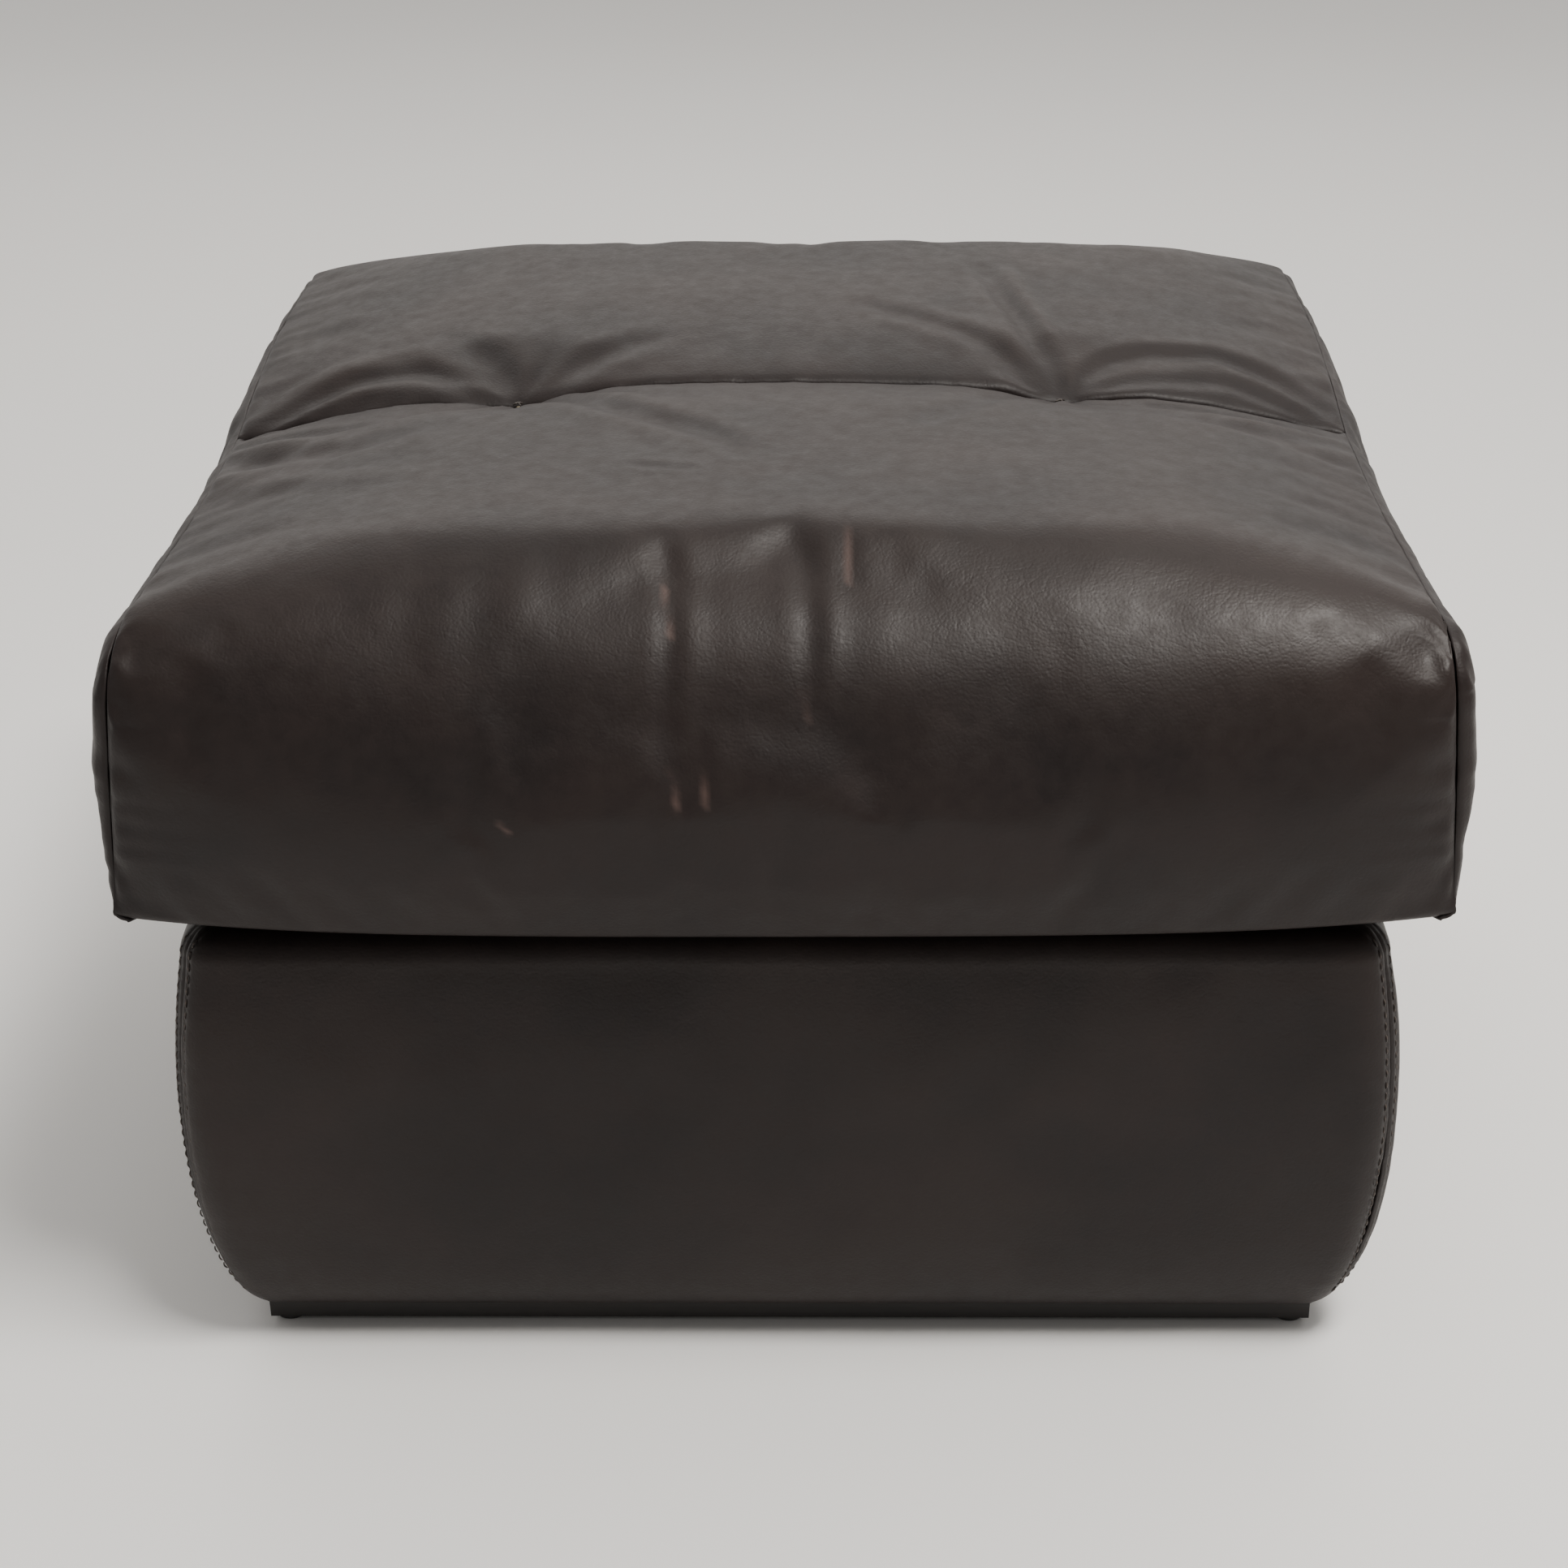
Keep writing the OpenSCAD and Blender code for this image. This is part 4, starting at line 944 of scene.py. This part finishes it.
class OTTOMAN_OT_boxings(bpy.types.Operator):
    """Builds the leather panels on the two sides of the cushion"""
    bl_idname = "ottoman.boxings"
    bl_label = "Side Boxings"

    def execute(self, context):
        cushion = context.scene.ottoman_cushion
        hide = aged_hide(context.scene.ottoman_finish, "boxing_hide")
        for side, word in SIDES:
            grid, upright = boxing_grid(cushion, side)
            held = np.zeros(grid.shape[:2], bool)
            held[[0, -1]] = True
            held[:, 0] = True
            held[:, upright - 1:] = True
            grid = settle(grid, held, side < 0, cushion)
            piece = grid_object(word + "_side_panel", grid, side < 0)
            subdivide(piece)
            finish_boxing(piece, cushion, side)
            thicken(piece)
            dress(piece, hide)
            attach(piece, "lid")
            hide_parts(word + "_boxing")
        return {"FINISHED"}


class OTTOMAN_OT_tuft_stitches(bpy.types.Operator):
    """Builds the two small thread crosses that hold the seat leather down at the tufts"""
    bl_idname = "ottoman.tuft_stitches"
    bl_label = "Tuft Stitches"

    def execute(self, context):
        thread = waxed_thread("tuft_thread", "#3B332E", "#241F1C")
        radius, reach, steps = 0.0006, 0.0032, 9
        up = np.tile((0, 0, 1.0), (steps, 1))
        for side, word in SIDES:
            bm = bmesh.new()
            middle = np.array([side * TUFT_X, 0, TUFT_Z + 0.0004])
            for a in (0.5, 2.1):
                way = np.array([math.cos(a), math.sin(a), 0])
                path = np.array([middle + way * t for t in np.linspace(-reach, reach, steps)])
                thread_run(bm, path, up, 2 * reach - radius, radius / 3, radius)
            piece = piece_from(bm, word + "_tuft_stitch")
            dress(piece, thread)
            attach(piece, "lid")
        return {"FINISHED"}


class OTTOMAN_OT_base_shell(bpy.types.Operator):
    """Builds the four leather panels of the padded base, from the turn-down inside to under it"""
    bl_idname = "ottoman.base_shell"
    bl_label = "Base Panels"

    def execute(self, context):
        base = context.scene.ottoman_base
        # The base hide is the seat hide painted 8% darker, as painted shade on the base below the lid.
        hide = aged_hide(context.scene.ottoman_finish, "base_hide", 0.92)
        for word, turns, first, last, flip, seed in (
                ("front", FRONT_TURNS, (-1, 1), (1, 1), True, 81),
                ("rear", FRONT_TURNS, (-1, -1), (1, -1), False, 91),
                ("left", SIDE_TURNS, (-1, 1), (-1, -1), False, 101),
                ("right", SIDE_TURNS, (1, 1), (1, -1), True, 111)):
            piece = grid_object(word + "_base_panel", shell_grid(base, turns, first, last), flip)
            subdivide(piece)
            finish_shell(piece, base, seed)
            thicken(piece)
            dress(piece, hide)
            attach(piece, "base")
            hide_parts(word + "_leather", word + "_padding")
        return {"FINISHED"}


THREAD_RADIUS = 0.00045
THREAD_SINK = 0.0002


def stitch_row(profile, slope, offset, side, end):
    """Path and normals of one topstitch row, offset from a corner seam of the base."""
    path, normals = [], []
    for (step, z, radius), (run, fall) in zip(profile, slope):
        turn = SEAM_TURN + offset / radius * 2 / math.pi
        x, y = corner_points(step, radius, [turn])[0]
        out_x, out_y = math.sin(turn * math.pi / 2), math.cos(turn * math.pi / 2)
        path.append((side * x, -end * y, z))
        normals.append((-fall * out_x * side, -fall * out_y * end, run))
    return np.array(path), np.array(normals)


class OTTOMAN_OT_seam_threads(bpy.types.Operator):
    """Builds the double rows of topstitching beside the four corner seams of the base"""
    bl_idname = "ottoman.seam_threads"
    bl_label = "Seam Threads"

    def execute(self, context):
        base = context.scene.ottoman_base
        thread = waxed_thread("seam_thread", "#4A403A", "#2A2421")
        profile = base_profile(base)
        outer = profile[(profile[:, 0] > -base.rim_radius * 0.6) & (profile[:, 1] > UNDER_Z + 0.003)]
        slope = unit(np.gradient(outer[:, :2], axis=0))
        for side, side_word in SIDES:
            for end, end_word in ((-1, "front"), (1, "rear")):
                bm = bmesh.new()
                for row in (-1, 1):
                    path, normals = stitch_row(outer, slope, row * base.stitch_offset, side, end)
                    thread_run(bm, path - normals * THREAD_SINK, normals, base.stitch_length,
                               base.stitch_gap, THREAD_RADIUS)
                piece = piece_from(bm, end_word + "_" + side_word + "_seam_thread")
                dress(piece, thread)
                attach(piece, "base")
        return {"FINISHED"}


class OTTOMAN_OT_finishes(bpy.types.Operator):
    """Gives every carried-over frame part the finish of its real material"""
    bl_idname = "ottoman.finishes"
    bl_label = "Frame Finishes"

    def execute(self, context):
        finishes = {
            "seat_leather": aged_hide(context.scene.ottoman_finish, "spare_seat_hide"),
            "base_leather": aged_hide(context.scene.ottoman_finish, "spare_base_hide"),
            "lining_cloth": woven_cloth("cotton_lining", "#4A4645", "#1F1D1D", 1.6),
            "dust_cloth": pressed_felt("spunbond_dust_cloth", "#1A1A1B"),
            "board_wood": sawn_wood("birch_ply", "#C9A97D", "#9C7B52", 6.0, 0.62),
            "plinth_wood": sawn_wood("stained_beech", "#1D1816", "#0F0C0B", 4.0, 0.6),
            "fibre_padding": woven_cloth("polyester_wadding", "#E4E2DC", "#C9C6BE", 3.0),
            "seat_foam": moulded("polyurethane_foam", "#DBC98F", 0.9, 1.2),
            "zinc_steel": zinc_plate("zinc_plated_steel"),
            "glide_plastic": moulded("polyethylene_glide", "#121212", 0.45, 1.5),
            "bumper_rubber": moulded("soft_rubber", "#161514", 0.75, 1.0),
            "tuft_twine": waxed_thread("waxed_twine", "#CBBB95", "#8F7F5C"),
        }
        for part in frame["record"]["subparts"]:
            dress(frame["nodes"][part["node"]], finishes[part["material_slot"]])
        return {"FINISHED"}


LAMPS = (
    # Each lamp is its name, place, aim, width, depth and watts.
    ("ceiling_light", (0.0, 2.3, 2.3), (0, 0.0, 0.3), 3.4, 1.6, 28),
    ("window_light", (0.72, -0.75, 2.30), (0.12, -0.27, 0.36), 0.95, 0.50, 62),
)
CAMERA_PLACE = (0.0274, -1.3247, 0.7933)
CAMERA_LENS = 59.6
CAMERA_TURN, CAMERA_TILT, CAMERA_LEAN = 1.4, 64.75, -0.74


class OTTOMAN_OT_stage(bpy.types.Operator):
    """Builds the pale floor, the soft lights and the camera"""
    bl_idname = "ottoman.stage"
    bl_label = "Stage"

    def execute(self, context):
        scene = context.scene
        self.lay_floor(scene.ottoman_finish.floor)
        self.hang_lights(scene)
        view = bpy.data.cameras.new("camera")
        view.lens, view.sensor_width = CAMERA_LENS, 36
        scene.camera = linked("camera", view)
        scene.camera.location = CAMERA_PLACE
        spin = Matrix()
        for degrees, axis in ((CAMERA_TURN, "Z"), (CAMERA_TILT, "X"), (CAMERA_LEAN, "Z")):
            spin = spin @ Matrix.Rotation(math.radians(degrees), 4, axis)
        scene.camera.rotation_euler = spin.to_euler()
        return {"FINISHED"}

    def lay_floor(self, colour):
        places = np.linspace(-9.0, 9.0, 12)
        x, y = np.meshgrid(places, places, indexing="ij")
        floor = grid_object("floor", np.stack([x, y, np.zeros_like(x)], axis=2), True)
        paint, tree, shader, place = new_finish("pale_floor_paint", Roughness=0.75)
        haze = add(tree, "TexNoise", {"Vector": place, "Scale": 0.8, "Detail": 2.0})
        tone = add(tree, "Mix", {"Factor": haze, "A": linear(colour), "B": linear("#FAFAF9")}, **MIXED)
        feed(tree, shader, {"Base Color": tone})
        dress(floor, paint)

    def hang_lights(self, scene):
        scene.world = bpy.data.worlds.new("soft_room")
        scene.world.use_nodes = True
        room = scene.world.node_tree
        room.nodes.clear()
        # The room is brighter behind the ottoman than in front of it.
        facing = add(room, "TexCoord", out="Generated")
        depth = add(room, "SeparateXYZ", {0: facing}, out="Y")
        glow = add(room, "MapRange", {"Value": depth, "From Min": -0.8, "From Max": 0.9,
                                      "To Min": 0.18, "To Max": 1.10})
        sky = add(room, "Background", {"Color": (1.0, 0.965, 0.925, 1.0), "Strength": glow})
        add(room, "OutputWorld", {"Surface": sky})
        for name, spot, aim, width, depth, watts in LAMPS:
            lamp = bpy.data.lights.new(name, "AREA")
            lamp.shape = "RECTANGLE"
            lamp.size, lamp.size_y = width, depth
            lamp.energy = watts
            lamp.color = (1.0, 0.96, 0.91)
            holder = linked(name, lamp)
            holder.location = spot
            holder.rotation_euler = (Vector(aim) - Vector(spot)).to_track_quat("-Z", "Y").to_euler()


class OTTOMAN_PT_panel(bpy.types.Panel):
    """Lists the ottoman's sizes, finishes and building steps"""
    bl_idname = "OTTOMAN_PT_panel"
    bl_label = "Storage Ottoman"
    bl_space_type = "VIEW_3D"
    bl_region_type = "UI"
    bl_category = "Ottoman"

    def draw(self, context):
        for name in GROUPS:
            group, box = getattr(context.scene, name), self.layout.box()
            for key in group.__annotations__:
                box.prop(group, key)
        for operator in OPERATORS:
            self.layout.operator(operator.bl_idname)


GROUPS = {
    "ottoman_cushion": OttomanCushion, "ottoman_base": OttomanBase, "ottoman_finish": OttomanFinish,
}
OPERATORS = (
    OTTOMAN_OT_finishes, OTTOMAN_OT_cushion, OTTOMAN_OT_boxings, OTTOMAN_OT_tuft_stitches,
    OTTOMAN_OT_base_shell, OTTOMAN_OT_seam_threads, OTTOMAN_OT_stage,
)


def register():
    for made in (*GROUPS.values(), *OPERATORS, OTTOMAN_PT_panel):
        bpy.utils.register_class(made)
    for name, group in GROUPS.items():
        setattr(bpy.types.Scene, name, PointerProperty(type=group))


def unregister():
    for name in GROUPS:
        delattr(bpy.types.Scene, name)
    for made in (OTTOMAN_PT_panel, *reversed(OPERATORS), *reversed(list(GROUPS.values()))):
        bpy.utils.unregister_class(made)


def main():
    register()
    bpy.ops.ottoman.finishes()
    bpy.ops.ottoman.cushion()
    bpy.ops.ottoman.boxings()
    bpy.ops.ottoman.tuft_stitches()
    bpy.ops.ottoman.base_shell()
    bpy.ops.ottoman.seam_threads()
    bpy.ops.ottoman.stage()
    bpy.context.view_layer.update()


if __name__ == "__main__":
    main()
